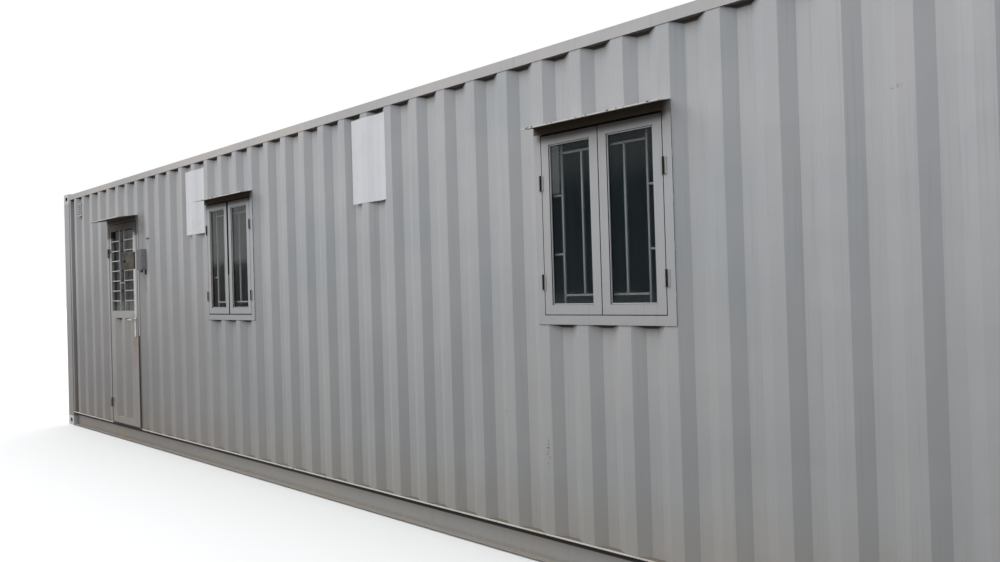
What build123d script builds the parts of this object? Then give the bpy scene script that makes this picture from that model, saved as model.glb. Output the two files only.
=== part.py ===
"""Shipping container cabin: a high container with a man-door and two casement windows in one long side.

X runs along the container, Y across it and Z up. The side with the door and windows faces -Y, the blind
end is at -X and the cargo doors are at +X. The origin is on the ground, at the centre of the whole outline.
Lengths are in millimetres.
"""

from build123d import *
import os
from math import hypot

os.makedirs("parts", exist_ok=True)

# Outer size of the container, and how far the door's hood reaches out past the side wall
length = 12192
width = 2438
height = 2896
door_hood_reach = 200

# Corner castings, posts and rails
casting_length = 178
casting_width = 162
casting_height = 118
casting_wall = 20
slot_plate = 28
slot_length = 124.5
slot_width = 63.5
slot_inset_x = 103.5
slot_inset_y = 89.5
side_hole_length = 79.5
side_hole_width = 51
post_length = 178
post_width = 162
post_plate = 6
rail_inset = 3
top_rail_size = 60
top_rail_plate = 4
roof_drop = 16
bottom_rail_height = 165
bottom_rail_depth = 48
bottom_rail_plate = 4.5
ground_gap = 10
end_sill_height = 120
door_header_height = 120
end_frame_depth = 60
end_frame_plate = 4

# Side walls: folded sheet with upright corrugations
side_sheet = 2
crest_inset = 6
crest = 72
slope = 68
recess = 70
wall_depth = 36
wall_margin_least = 150

# Blind end wall
end_sheet = 2
end_crest = 110
end_slope = 20
end_recess = 100
end_wall_depth = 45

# Roof sheet with pressed troughs across the container
roof_sheet = 2
trough_pitch = 209
trough_floor = 64
trough_slope = 16
trough_depth = 20
roof_end_margin = 190

# Floor
floor_thickness = 28
crossmember_height = 122
crossmember_flange = 45
crossmember_plate = 4
crossmember_spacing = 305
crossmember_end_margin = 420
fit_gap = 3

# Man-door and windows are framed from crest edge to crest edge, counted from the blind end
framed_crest_count = 4
door_crest_number = 4
far_window_crest_number = 13
near_window_crest_number = 28
frame_face = 50
frame_plate = 5
frame_return = 45
door_frame_top = 2450
window_frame_bottom = 1345
window_frame_top = 2445

# Leaf of the man-door
leaf_gap = 7
lock_side_gap = 18
leaf_depth = 42
hinge_stile = 53
lock_stile = 94
leaf_top_rail = 74
leaf_bottom_rail = 68
mid_rail_bottom = 1350
mid_rail_top = 1430
grille_bar = 10
grille_bar_depth = 6
grille_spaces = 8
grille_left_share = 0.375
grille_centre_column = 127
centre_bar_z = 1740
pane_thickness = 5
pane_setback = 26

# Lock, lever and hinges of the man-door
lock_plate_width = 375
lock_plate_height = 186
lock_plate_bottom = 1880
lock_plate_thickness = 4
lock_notch_depth = 58
lock_notch_gap = 18
escutcheon_width = 44
escutcheon_height = 210
escutcheon_thickness = 6
escutcheon_bottom = 1150
escutcheon_inset = 61
keyhole_z = 1237
keyhole_length = 20
keyhole_width = 6
lever_z = 1337
lever_length = 105
lever_thickness = 10
lever_height = 18
lever_standoff = 46
spindle_radius = 8
spindle_clearance = 0.4
hinge_radius = 9
hinge_pin_radius = 5
hinge_clearance = 0.05
hinge_barrel = 50
hinge_plate = 4
hinge_plate_width = 40
hinge_standoff = 10
hinge_heights = (400, 2080)
hinge_seat_gap = 1

# Sashes and hoods of the windows
sash_gap = 5
meeting_gaps = {"far": 20, "near": 6}
sash_face = 52
sash_depth = 30
rebate = 10
window_hinge_heights = {"far": (1560, 2165), "near": (1580, 2130)}
window_hinge_radius = 6
window_hinge_height = 85
window_hinge_width = 34
window_hinge_plate = 3
window_hood_reach = 110
hood_sheet = 3
door_hood_fall = 30
window_hood_fall = 23

# Guard box for the padlock, and the ventilators
guard_offset = 66
guard_width = 121
guard_depth = 50
guard_bottom = 1860
guard_top = 2075
guard_sheet = 3
vent_width = 120
vent_height = 160
vent_drop = 75
vent_setback = 4
vent_shift = 10
vent_slots = 6
vent_slot_spacing = 22
vent_slot_height = 8
vent_slot_depth = 9
vent_slot_margin = 16

# Cargo doors
cargo_setback = 60
cargo_gap = 6
cargo_depth = 50
cargo_frame = 100
cargo_sheet = 2
cargo_flat = 180
cargo_rib_slope = 36
cargo_rib_recess = 300
cargo_rib_depth = 36
cargo_hinge_heights = (420, 1120, 1780, 2480)
cargo_hinge_radius = 12
cargo_hinge_width = 110
cargo_hinge_height = 120
cargo_hinge_plate = 9
bar_radius = 17
bar_standoff = 26
bar_offsets = (260, 760)
bracket_width = 90
bracket_height = 60
handle_length = 430
handle_height = 45
handle_thickness = 9
inner_handle_z = 1150
outer_handle_z = 1330

# Planes and levels that the pieces share
front_face = -(width - (door_hood_reach - crest_inset)) / 2
back_face = front_face + width
middle_y = (front_face + back_face) / 2
blind_end = -length / 2
cargo_end = length / 2
front_crest = front_face + crest_inset
back_crest = back_face - crest_inset
sill_z = ground_gap + bottom_rail_height
roof_z = height - roof_drop
rail_z = roof_z - top_rail_size
rail_length = length - 2 * casting_length
rail_inner = rail_inset + top_rail_size

# Side wall corrugation, as distances from the blind end and depths behind the crests
pitch = crest + 2 * slope + recess
crest_count = int((length - 2 * (wall_margin_least + recess + slope) - crest) / pitch) + 1
first_crest = (length - (crest_count - 1) * pitch - crest) / 2
wall_margin = first_crest - slope - recess


def crest_edge(number):
    """X of the edge of a crest that is nearer the blind end."""
    return blind_end + first_crest + number * pitch


def framed_edges(number):
    """Outer X edges of a frame whose first crest has this number."""
    last = number + framed_crest_count - 1
    return crest_edge(number), crest_edge(last) + crest


def side_bends():
    """Bends of the whole side wall as (x, depth), from post to post."""
    start = [
        (blind_end + post_length, 0),
        (blind_end + wall_margin, 0),
        (blind_end + wall_margin, wall_depth),
        (blind_end + wall_margin + recess, wall_depth),
    ]
    bends = list(start)
    for number in range(crest_count):
        x = crest_edge(number)
        bends += [(x, 0), (x + crest, 0)]
        if number < crest_count - 1:
            bends += [(x + crest + slope, wall_depth), (x + pitch - slope, wall_depth)]
    bends += [(-x, depth) for x, depth in reversed(start)]
    return bends


def depth_at(bends, x):
    """Depth of a bent line at one place along it."""
    for (x0, d0), (x1, d1) in zip(bends, bends[1:]):
        if x0 <= x <= x1 and x1 > x0:
            return d0 + (d1 - d0) * (x - x0) / (x1 - x0)
    return 0


def stretch(bends, start, end):
    """The part of a bent line between two places along it."""
    inside = [point for point in bends if start < point[0] < end]
    return [(start, depth_at(bends, start))] + inside + [(end, depth_at(bends, end))]


def moved_sideways(points, amount):
    """The same bent line moved square to itself, with mitred corners and plumb ends."""
    normals = []
    for (x0, d0), (x1, d1) in zip(points, points[1:]):
        run = hypot(x1 - x0, d1 - d0)
        normals.append(((d0 - d1) / run, (x1 - x0) / run))
    before = [normals[0]] + normals
    after = normals + [normals[-1]]
    moved = []
    for (x, depth), (ax, ad), (bx, bd) in zip(points, before, after):
        scale = amount / (1 + ax * bx + ad * bd)
        moved.append((x + (ax + bx) * scale, depth + (ad + bd) * scale))
    moved[0] = (points[0][0], points[0][1] + amount / normals[0][1])
    moved[-1] = (points[-1][0], points[-1][1] + amount / normals[-1][1])
    return moved


def sheet_outline(points, thickness):
    """Closed outline of a sheet folded along a bent line."""
    return points + list(reversed(moved_sideways(points, thickness)))


def export(part, name):
    """Label a finished piece and write it."""
    part.label = name
    export_step(part, f"parts/{name}.step")


# Corner castings: hollow blocks with a slot in the face that is lifted or locked, and holes in two sides
casting_x = length / 2 - casting_length / 2
casting_y = width / 2 - casting_width / 2


def cast_corners(bottom_z, slot_z):
    """Four hollow corner castings with their slots and side holes."""
    middle_z = bottom_z + casting_height / 2
    with BuildPart() as castings:
        with Locations((0, middle_y, middle_z)):
            with GridLocations(2 * casting_x, 2 * casting_y, 2, 2):
                Box(casting_length, casting_width, casting_height)
                Box(
                    casting_length - 2 * casting_wall,
                    casting_width - 2 * casting_wall,
                    casting_height - 2 * slot_plate,
                    mode=Mode.SUBTRACT,
                )
        with BuildSketch(Plane.XY.offset(slot_z)):
            with Locations((0, middle_y)):
                with GridLocations(length - 2 * slot_inset_x, width - 2 * slot_inset_y, 2, 2):
                    SlotOverall(slot_length, slot_width)
        extrude(amount=slot_plate, both=True, mode=Mode.SUBTRACT)
        for y, inward in ((front_face, 1), (back_face, -1)):
            with BuildSketch(Plane.XZ.offset(-y)):
                with Locations((0, middle_z)):
                    with GridLocations(2 * casting_x, 1, 2, 1):
                        SlotOverall(side_hole_length, side_hole_width)
            extrude(amount=-inward * casting_wall, mode=Mode.SUBTRACT)
        for x, inward in ((blind_end, 1), (cargo_end, -1)):
            with BuildSketch(Plane.YZ.offset(x)):
                with Locations((middle_y, middle_z)):
                    with GridLocations(2 * casting_y, 1, 2, 1):
                        SlotOverall(side_hole_length, side_hole_width)
            extrude(amount=inward * casting_wall, mode=Mode.SUBTRACT)
    return castings.part


export(cast_corners(0, 0), "bottom_corner_castings")
export(cast_corners(height - casting_height, height), "top_corner_castings")

# Corner posts: welded box sections between the castings
post_x = length / 2 - post_length / 2
post_y = width / 2 - post_width / 2

with BuildPart() as corner_posts:
    with BuildSketch(Plane.XY.offset(casting_height)):
        with Locations((0, middle_y)):
            with GridLocations(2 * post_x, 2 * post_y, 2, 2):
                Rectangle(post_length, post_width)
                Rectangle(post_length - 2 * post_plate, post_width - 2 * post_plate, mode=Mode.SUBTRACT)
    extrude(amount=height - 2 * casting_height)

export(corner_posts.part, "corner_posts")


def top_rail(outer_y, inward):
    """Square tube along the top of one side."""
    centre_y = outer_y + inward * (rail_inset + top_rail_size / 2)
    with BuildPart() as rail:
        with BuildSketch(Plane.YZ.offset(-rail_length / 2)):
            with Locations((centre_y, rail_z + top_rail_size / 2)):
                Rectangle(top_rail_size, top_rail_size)
                Rectangle(
                    top_rail_size - 2 * top_rail_plate,
                    top_rail_size - 2 * top_rail_plate,
                    mode=Mode.SUBTRACT,
                )
        extrude(amount=rail_length)
    return rail.part


def bottom_rail(outer_y, inward):
    """Folded channel along the foot of one side, open to the outside."""
    lip_y = outer_y + inward * rail_inset
    web_y = lip_y + inward * bottom_rail_depth
    with BuildPart() as rail:
        with BuildSketch(Plane.YZ.offset(-rail_length / 2)):
            with BuildLine():
                Polyline(
                    (lip_y, ground_gap),
                    (web_y, ground_gap),
                    (web_y, sill_z),
                    (lip_y, sill_z),
                    (lip_y, sill_z - bottom_rail_plate),
                    (web_y - inward * bottom_rail_plate, sill_z - bottom_rail_plate),
                    (web_y - inward * bottom_rail_plate, ground_gap + bottom_rail_plate),
                    (lip_y, ground_gap + bottom_rail_plate),
                    close=True,
                )
            make_face()
        extrude(amount=rail_length)
    return rail.part


export(top_rail(front_face, 1), "top_rail_front")
export(top_rail(back_face, -1), "top_rail_back")
export(bottom_rail(front_face, 1), "bottom_rail_front")
export(bottom_rail(back_face, -1), "bottom_rail_back")

# End frames: a sill and a header between the castings at each end
end_span = width - 2 * casting_width


def end_beam(outer_x, inward, bottom_z, beam_height):
    """Box beam across one end."""
    centre_x = outer_x + inward * (rail_inset + end_frame_depth / 2)
    with BuildPart() as beam:
        with BuildSketch(Plane.XZ.offset(-(middle_y - end_span / 2))):
            with Locations((centre_x, bottom_z + beam_height / 2)):
                Rectangle(end_frame_depth, beam_height)
                Rectangle(
                    end_frame_depth - 2 * end_frame_plate,
                    beam_height - 2 * end_frame_plate,
                    mode=Mode.SUBTRACT,
                )
        extrude(amount=-end_span)
    return beam.part


end_sill_top = ground_gap + end_sill_height
door_header_z = roof_z - door_header_height

export(end_beam(blind_end, 1, ground_gap, end_sill_height), "blind_end_sill")
export(end_beam(blind_end, 1, rail_z, top_rail_size), "blind_end_header")
export(end_beam(cargo_end, -1, ground_gap, end_sill_height), "cargo_end_sill")
export(end_beam(cargo_end, -1, door_header_z, door_header_height), "cargo_end_header")

# Floor boards on crossmembers between the webs of the bottom rails
web_inset = rail_inset + bottom_rail_depth
floor_width = width - 2 * web_inset
floor_bottom = sill_z - floor_thickness
floor_x0 = blind_end + rail_inset + end_frame_depth
floor_x1 = cargo_end - cargo_setback - cargo_depth - fit_gap
crossmember_count = int((length - 2 * crossmember_end_margin) / crossmember_spacing) + 1
crossmember_z = floor_bottom - crossmember_height / 2

with BuildPart() as floor_crossmembers:
    with BuildSketch(Plane.XZ.offset(-(front_face + web_inset))):
        with Locations((0, crossmember_z)):
            with GridLocations(crossmember_spacing, 1, crossmember_count, 1):
                Rectangle(crossmember_flange, crossmember_height)
                with Locations((crossmember_plate / 2, 0)):
                    Rectangle(
                        crossmember_flange - crossmember_plate,
                        crossmember_height - 2 * crossmember_plate,
                        mode=Mode.SUBTRACT,
                    )
    extrude(amount=-floor_width)

export(floor_crossmembers.part, "floor_crossmembers")

with BuildPart() as floor_boards:
    with BuildSketch(Plane.XY.offset(floor_bottom)):
        with Locations(((floor_x0 + floor_x1) / 2, middle_y)):
            Rectangle(floor_x1 - floor_x0, floor_width)
        with Locations((0, middle_y)):
            with GridLocations(2 * post_x, 2 * post_y, 2, 2):
                Rectangle(post_length + 2 * fit_gap, post_width + 2 * fit_gap, mode=Mode.SUBTRACT)
    extrude(amount=floor_thickness)

export(floor_boards.part, "floor")

# Roof: one sheet on the rails, with troughs pressed across it
trough_width = trough_floor + 2 * trough_slope
trough_count = int((length - 2 * roof_end_margin - trough_width) / trough_pitch) + 1
first_trough = -((trough_count - 1) * trough_pitch + trough_width) / 2


def roof_bends():
    """Bends of the roof sheet as (x, depth below the flat)."""
    bends = [(-length / 2 + rail_inset, 0)]
    for number in range(trough_count):
        x = first_trough + number * trough_pitch
        bends += [(x, 0), (x + trough_slope, trough_depth)]
        bends += [(x + trough_slope + trough_floor, trough_depth), (x + trough_width, 0)]
    return bends + [(length / 2 - rail_inset, 0)]


roof_top = roof_z + roof_sheet

with BuildPart() as roof_panel:
    with BuildSketch(Plane.XZ.offset(-(front_face + rail_inner))):
        with BuildLine():
            Polyline(*[(x, roof_top - d) for x, d in sheet_outline(roof_bends(), roof_sheet)], close=True)
        make_face()
    extrude(amount=-(width - 2 * rail_inner))
    with BuildSketch(Plane.XY.offset(roof_z)):
        with Locations((0, middle_y)):
            with GridLocations(1, width - 2 * rail_inset - top_rail_size, 1, 2):
                Rectangle(length - 2 * rail_inset, top_rail_size)
    extrude(amount=roof_sheet)
    with Locations((0, middle_y, roof_z)):
        with GridLocations(2 * casting_x, 2 * casting_y, 2, 2):
            Box(
                casting_length + 2 * fit_gap,
                casting_width + 2 * fit_gap,
                4 * roof_sheet,
                mode=Mode.SUBTRACT,
            )

export(roof_panel.part, "roof_panel")

# Side walls
bends = side_bends()
door_x0, door_x1 = framed_edges(door_crest_number)
door_cut_x0 = door_x0 + frame_face - frame_plate
door_cut_x1 = door_x1 - frame_face + frame_plate
door_cut_top = door_frame_top - frame_face + frame_plate
window_edges = {
    "far": framed_edges(far_window_crest_number),
    "near": framed_edges(near_window_crest_number),
}
wall_start = blind_end + post_length
wall_end = cargo_end - post_length


def folded_wall(points, crest_y, inward, bottom_z, top_z):
    """Upright folded sheet along a stretch of the side."""
    with BuildPart() as wall:
        with BuildSketch(Plane.XY.offset(bottom_z)):
            with BuildLine():
                outline = sheet_outline(points, side_sheet)
                Polyline(*[(x, crest_y + inward * depth) for x, depth in outline], close=True)
            make_face()
        extrude(amount=top_z - bottom_z)
    return wall.part


window_width = window_edges["near"][1] - window_edges["near"][0]
window_height = window_frame_top - window_frame_bottom
window_z = (window_frame_top + window_frame_bottom) / 2
window_centres = {name: (x0 + x1) / 2 for name, (x0, x1) in window_edges.items()}

export(folded_wall(bends, back_crest, -1, sill_z, rail_z), "back_wall")
left_points = stretch(bends, wall_start, door_cut_x0)
over_points = stretch(bends, door_cut_x0, door_cut_x1)
right_points = stretch(bends, door_cut_x1, wall_end)
export(folded_wall(left_points, front_crest, 1, sill_z, rail_z), "front_wall_left")
export(folded_wall(over_points, front_crest, 1, door_cut_top, rail_z), "front_wall_over_door")

with BuildPart() as front_wall_right:
    add(folded_wall(right_points, front_crest, 1, sill_z, rail_z))
    for centre_x in window_centres.values():
        with Locations((centre_x, front_crest, window_z)):
            Box(
                window_width - 2 * (frame_face - frame_plate),
                4 * wall_depth,
                window_height - 2 * (frame_face - frame_plate),
                mode=Mode.SUBTRACT,
            )

export(front_wall_right.part, "front_wall_right")

# Blind end wall: deeper and tighter corrugations between the posts
end_pitch = end_crest + 2 * end_slope + end_recess
end_wall_span = width - 2 * post_width
end_crest_count = int((end_wall_span - end_crest - 2 * end_slope) / end_pitch) + 1
end_first = -((end_crest_count - 1) * end_pitch + end_crest) / 2


def end_bends():
    """Bends of the blind end wall as (distance from its middle, depth)."""
    points = [(-end_wall_span / 2, end_wall_depth)]
    for number in range(end_crest_count):
        start = end_first + number * end_pitch
        points += [(start - end_slope, end_wall_depth), (start, 0)]
        points += [(start + end_crest, 0), (start + end_crest + end_slope, end_wall_depth)]
    return points + [(end_wall_span / 2, end_wall_depth)]


with BuildPart() as blind_end_wall:
    with BuildSketch(Plane.XY.offset(end_sill_top)):
        with BuildLine():
            outline = sheet_outline(end_bends(), end_sheet)
            Polyline(*[(blind_end + crest_inset + depth, middle_y + y) for y, depth in outline], close=True)
        make_face()
    extrude(amount=rail_z - end_sill_top)

export(blind_end_wall.part, "blind_end_wall")


def frame_angle(x0, x1, z0, z1, opening):
    """Welded angle frame on the crests: a flange outside and a return through the wall.

    The opening is the (x0, x1, z0, z1) inside the frame.
    """
    inner_x0, inner_x1, inner_z0, inner_z1 = opening
    flange_y = front_crest - frame_plate
    with BuildPart() as angle:
        with BuildSketch(Plane.XZ.offset(-flange_y)):
            with Locations(((x0 + x1) / 2, (z0 + z1) / 2)):
                Rectangle(x1 - x0, z1 - z0)
            with Locations(((inner_x0 + inner_x1) / 2, (inner_z0 + inner_z1) / 2)):
                Rectangle(inner_x1 - inner_x0, inner_z1 - inner_z0, mode=Mode.SUBTRACT)
        extrude(amount=-frame_plate)
        with BuildSketch(Plane.XZ.offset(-front_crest)):
            with Locations(((inner_x0 + inner_x1) / 2, (inner_z0 + inner_z1) / 2)):
                Rectangle(
                    inner_x1 - inner_x0 + 2 * frame_plate,
                    inner_z1 - inner_z0 + 2 * frame_plate,
                )
                Rectangle(inner_x1 - inner_x0, inner_z1 - inner_z0, mode=Mode.SUBTRACT)
        extrude(amount=-frame_return)
    return angle.part


# Frame of the man-door: two jambs down to the rail and a head between them
door_inner_x0 = door_x0 + frame_face
door_inner_x1 = door_x1 - frame_face
door_inner_top = door_frame_top - frame_face
flange_face = front_crest - frame_plate
frame_depth = frame_plate + frame_return


def jamb(outer_x, inward):
    """One upright of the door frame."""
    with BuildPart() as upright:
        with BuildSketch(Plane.XY.offset(sill_z)):
            with BuildLine():
                Polyline(
                    (outer_x, flange_face),
                    (outer_x + inward * frame_face, flange_face),
                    (outer_x + inward * frame_face, flange_face + frame_depth),
                    (outer_x + inward * (frame_face - frame_plate), flange_face + frame_depth),
                    (outer_x + inward * (frame_face - frame_plate), front_crest),
                    (outer_x, front_crest),
                    close=True,
                )
            make_face()
        extrude(amount=door_inner_top - sill_z)
    return upright.part


with BuildPart() as door_jambs:
    add(jamb(door_x0, 1))
    add(jamb(door_x1, -1))

with BuildPart() as door_head:
    with BuildSketch(Plane.XZ.offset(-flange_face)):
        with Locations(((door_x0 + door_x1) / 2, door_frame_top - frame_face / 2)):
            Rectangle(door_x1 - door_x0, frame_face)
    extrude(amount=-frame_plate)
    with BuildSketch(Plane.XZ.offset(-front_crest)):
        with Locations(((door_x0 + door_x1) / 2, door_inner_top + frame_plate / 2)):
            Rectangle(door_cut_x1 - door_cut_x0, frame_plate)
    extrude(amount=-frame_return)

export(door_jambs.part, "door_jambs")
export(door_head.part, "door_head")

# Leaf of the man-door: a welded tube frame round the grille and the reused wall panel
leaf_x0 = door_inner_x0 + leaf_gap
leaf_x1 = door_inner_x1 - lock_side_gap
leaf_z0 = sill_z + leaf_gap
leaf_z1 = door_inner_top - leaf_gap
leaf_face = front_crest
opening_x0 = leaf_x0 + hinge_stile
opening_x1 = leaf_x1 - lock_stile
panel_z0 = leaf_z0 + leaf_bottom_rail
grille_z1 = leaf_z1 - leaf_top_rail
opening_x = (opening_x0 + opening_x1) / 2
opening_width = opening_x1 - opening_x0

with BuildPart() as door_leaf:
    with BuildSketch(Plane.XZ.offset(-leaf_face)):
        with Locations(((leaf_x0 + leaf_x1) / 2, (leaf_z0 + leaf_z1) / 2)):
            Rectangle(leaf_x1 - leaf_x0, leaf_z1 - leaf_z0)
        with Locations((opening_x, (panel_z0 + mid_rail_bottom) / 2)):
            Rectangle(opening_width, mid_rail_bottom - panel_z0, mode=Mode.SUBTRACT)
        with Locations((opening_x, (mid_rail_top + grille_z1) / 2)):
            Rectangle(opening_width, grille_z1 - mid_rail_top, mode=Mode.SUBTRACT)
    extrude(amount=-leaf_depth)

# The sheet cut out for the doorway, moved until its first crest starts at the hinge stile
panel_shift = opening_x0 - crest_edge(door_crest_number)
moved_bends = [(x + panel_shift, depth) for x, depth in bends]
panel_points = stretch(moved_bends, opening_x0, opening_x1)
export(folded_wall(panel_points, front_crest, 1, panel_z0, mid_rail_bottom), "door_panel")

# Grille of the man-door: two columns of bars with a plain column between them
column_x0 = opening_x0 + grille_left_share * opening_width
column_x1 = column_x0 + grille_centre_column
grille_height = grille_z1 - mid_rail_top
grille_step = grille_height / grille_spaces
grille_y = leaf_face + (leaf_depth - pane_setback) / 2

with BuildPart() as door_grille:
    with BuildSketch(Plane.XZ.offset(-(grille_y - grille_bar_depth / 2))):
        for x in (column_x0, column_x1):
            with Locations((x, mid_rail_top + grille_height / 2)):
                Rectangle(grille_bar, grille_height)
        for x0, x1 in ((opening_x0, column_x0), (column_x1, opening_x1)):
            for number in range(1, grille_spaces):
                with Locations(((x0 + x1) / 2, mid_rail_top + number * grille_step)):
                    Rectangle(x1 - x0, grille_bar)
        with Locations(((column_x0 + column_x1) / 2, centre_bar_z)):
            Rectangle(grille_centre_column, grille_bar)
    extrude(amount=-grille_bar_depth)

export(door_grille.part, "door_grille")

with BuildPart() as door_pane:
    with BuildSketch(Plane.XZ.offset(-(leaf_face + pane_setback))):
        with Locations((opening_x, mid_rail_top + grille_height / 2)):
            Rectangle(opening_width, grille_height)
    extrude(amount=-pane_thickness)

export(door_pane.part, "door_pane")

# Lock: a plate over the grille, an outside plate with a keyhole, and the lever
lock_plate_x1 = opening_x1 + lock_notch_depth - lock_notch_gap
lock_plate_z = lock_plate_bottom + lock_plate_height / 2

with BuildPart() as door_lock_plate:
    with BuildSketch(Plane.XZ.offset(-(grille_y - grille_bar_depth / 2 - lock_plate_thickness))):
        with Locations((lock_plate_x1 - lock_plate_width / 2, lock_plate_z)):
            Rectangle(lock_plate_width, lock_plate_height)
    extrude(amount=-lock_plate_thickness)

export(door_lock_plate.part, "door_lock_plate")

lock_x = leaf_x1 - escutcheon_inset
bore_radius = spindle_radius + spindle_clearance

with BuildPart() as door_escutcheon:
    with BuildSketch(Plane.XZ.offset(-leaf_face)):
        with Locations((lock_x, escutcheon_bottom + escutcheon_height / 2)):
            RectangleRounded(escutcheon_width, escutcheon_height, escutcheon_width / 2.5)
        with Locations((lock_x, lever_z)):
            Circle(bore_radius, mode=Mode.SUBTRACT)
        with Locations((lock_x, keyhole_z)):
            SlotOverall(keyhole_length, keyhole_width, rotation=90, mode=Mode.SUBTRACT)
    extrude(amount=escutcheon_thickness)

export(door_escutcheon.part, "door_escutcheon")

# The lock stile is cut open beside the lock plate, and bored for the lever's spindle
spindle_bore_depth = leaf_depth / 2

with BuildPart() as door_leaf_bored:
    add(door_leaf.part)
    with BuildSketch(Plane.XZ.offset(-leaf_face)):
        with Locations((opening_x1 + lock_notch_depth / 2, lock_plate_z)):
            Rectangle(lock_notch_depth, lock_plate_height)
    extrude(amount=-leaf_depth, mode=Mode.SUBTRACT)
    with BuildSketch(Plane.XZ.offset(-leaf_face)):
        with Locations((lock_x, lever_z)):
            Circle(bore_radius)
    extrude(amount=-(spindle_bore_depth + spindle_clearance), mode=Mode.SUBTRACT)

export(door_leaf_bored.part, "door_leaf")

with BuildPart() as door_lever:
    with BuildSketch(Plane.XZ.offset(-(leaf_face - lever_standoff))):
        with Locations((lock_x, lever_z)):
            Circle(spindle_radius)
    extrude(amount=-(lever_standoff + spindle_bore_depth))
    with BuildSketch(Plane.XZ.offset(-(leaf_face - lever_standoff))):
        with Locations((lock_x - lever_length / 2, lever_z)):
            SlotOverall(lever_length + lever_height, lever_height)
    extrude(amount=-lever_thickness)

export(door_lever.part, "door_lever")

# Lift-off hinges of the man-door: pins on the frame, barrels on the leaf
hinge_x = (door_inner_x0 + leaf_x0) / 2
hinge_y = flange_face - hinge_standoff

with BuildPart() as door_hinge_pins:
    for z in hinge_heights:
        with BuildSketch(Plane.XY.offset(z - hinge_barrel)):
            with Locations((hinge_x, hinge_y)):
                Circle(hinge_radius)
            with Locations((hinge_x - hinge_plate_width / 2, flange_face - hinge_plate / 2)):
                Rectangle(hinge_plate_width, hinge_plate)
            with Locations((hinge_x, (hinge_y + flange_face) / 2)):
                Rectangle(hinge_plate, flange_face - hinge_y)
        extrude(amount=hinge_barrel)
        with BuildSketch(Plane.XY.offset(z)):
            with Locations((hinge_x, hinge_y)):
                Circle(hinge_pin_radius)
        extrude(amount=hinge_barrel * 0.8)

export(door_hinge_pins.part, "door_hinge_pins")

with BuildPart() as door_hinge_barrels:
    for z in hinge_heights:
        with BuildSketch(Plane.XY.offset(z + hinge_seat_gap)):
            with Locations((hinge_x, hinge_y)):
                Circle(hinge_radius)
            with Locations((hinge_x + hinge_plate_width / 2, leaf_face - hinge_plate / 2)):
                Rectangle(hinge_plate_width, hinge_plate)
            with Locations((hinge_x + hinge_plate / 2, (hinge_y + leaf_face) / 2 - hinge_plate / 4)):
                Rectangle(hinge_plate, leaf_face - hinge_y - hinge_plate / 2)
            with Locations((hinge_x, hinge_y)):
                Circle(hinge_pin_radius + hinge_clearance, mode=Mode.SUBTRACT)
        extrude(amount=hinge_barrel - hinge_seat_gap)

export(door_hinge_barrels.part, "door_hinge_barrels")


def hood(x0, x1, junction_z, reach, fall):
    """Sloping plate over a frame, standing on its flange."""
    front_y = front_crest - reach
    with BuildPart() as plate:
        with BuildSketch(Plane.YZ.offset(x0)):
            with BuildLine():
                Polyline(
                    (front_crest, junction_z),
                    (front_y, junction_z - fall),
                    (front_y, junction_z - fall + hood_sheet),
                    (front_crest, junction_z + hood_sheet),
                    close=True,
                )
            make_face()
        extrude(amount=x1 - x0)
    return plate.part


door_hood_z = door_frame_top + frame_plate * door_hood_fall / door_hood_reach
window_hood_z = window_frame_top + frame_plate * window_hood_fall / window_hood_reach
export(hood(door_x0, door_x1, door_hood_z, door_hood_reach, door_hood_fall), "door_hood")

# Windows: an angle frame and two sashes with a pane each
sash_y = flange_face
pane_inset = (sash_depth - pane_thickness) / 2


def sashes(centre_x, meeting_gap):
    """Two sashes that meet at the middle of a frame, rebated for their panes."""
    inner_width = window_width - 2 * frame_face
    inner_height = window_height - 2 * frame_face
    sash_width = inner_width / 2 - sash_gap - meeting_gap / 2
    sash_height = inner_height - 2 * sash_gap
    offset_x = sash_width / 2 + meeting_gap / 2
    with BuildPart() as pair:
        with BuildSketch(Plane.XZ.offset(-sash_y)):
            with Locations((centre_x, window_z)):
                with GridLocations(2 * offset_x, 1, 2, 1):
                    Rectangle(sash_width, sash_height)
                    Rectangle(sash_width - 2 * sash_face, sash_height - 2 * sash_face, mode=Mode.SUBTRACT)
        extrude(amount=-sash_depth)
        with BuildSketch(Plane.XZ.offset(-(sash_y + pane_inset))):
            with Locations((centre_x, window_z)):
                with GridLocations(2 * offset_x, 1, 2, 1):
                    Rectangle(
                        sash_width - 2 * sash_face + 2 * rebate,
                        sash_height - 2 * sash_face + 2 * rebate,
                    )
        extrude(amount=-pane_thickness, mode=Mode.SUBTRACT)
    with BuildPart() as panes:
        with BuildSketch(Plane.XZ.offset(-(sash_y + pane_inset))):
            with Locations((centre_x, window_z)):
                with GridLocations(2 * offset_x, 1, 2, 1):
                    Rectangle(
                        sash_width - 2 * sash_face + 2 * rebate,
                        sash_height - 2 * sash_face + 2 * rebate,
                    )
        extrude(amount=-pane_thickness)
    return pair.part, panes.part


for name, centre_x in window_centres.items():
    x0 = centre_x - window_width / 2
    x1 = centre_x + window_width / 2
    inside = (x0 + frame_face, x1 - frame_face, window_frame_bottom + frame_face, window_frame_top - frame_face)
    export(frame_angle(x0, x1, window_frame_bottom, window_frame_top, inside), f"{name}_window_frame")
    pair, panes = sashes(centre_x, meeting_gaps[name])
    export(pair, f"{name}_window_sashes")
    export(panes, f"{name}_window_panes")
    export(hood(x0, x1, window_hood_z, window_hood_reach, window_hood_fall), f"{name}_window_hood")

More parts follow.
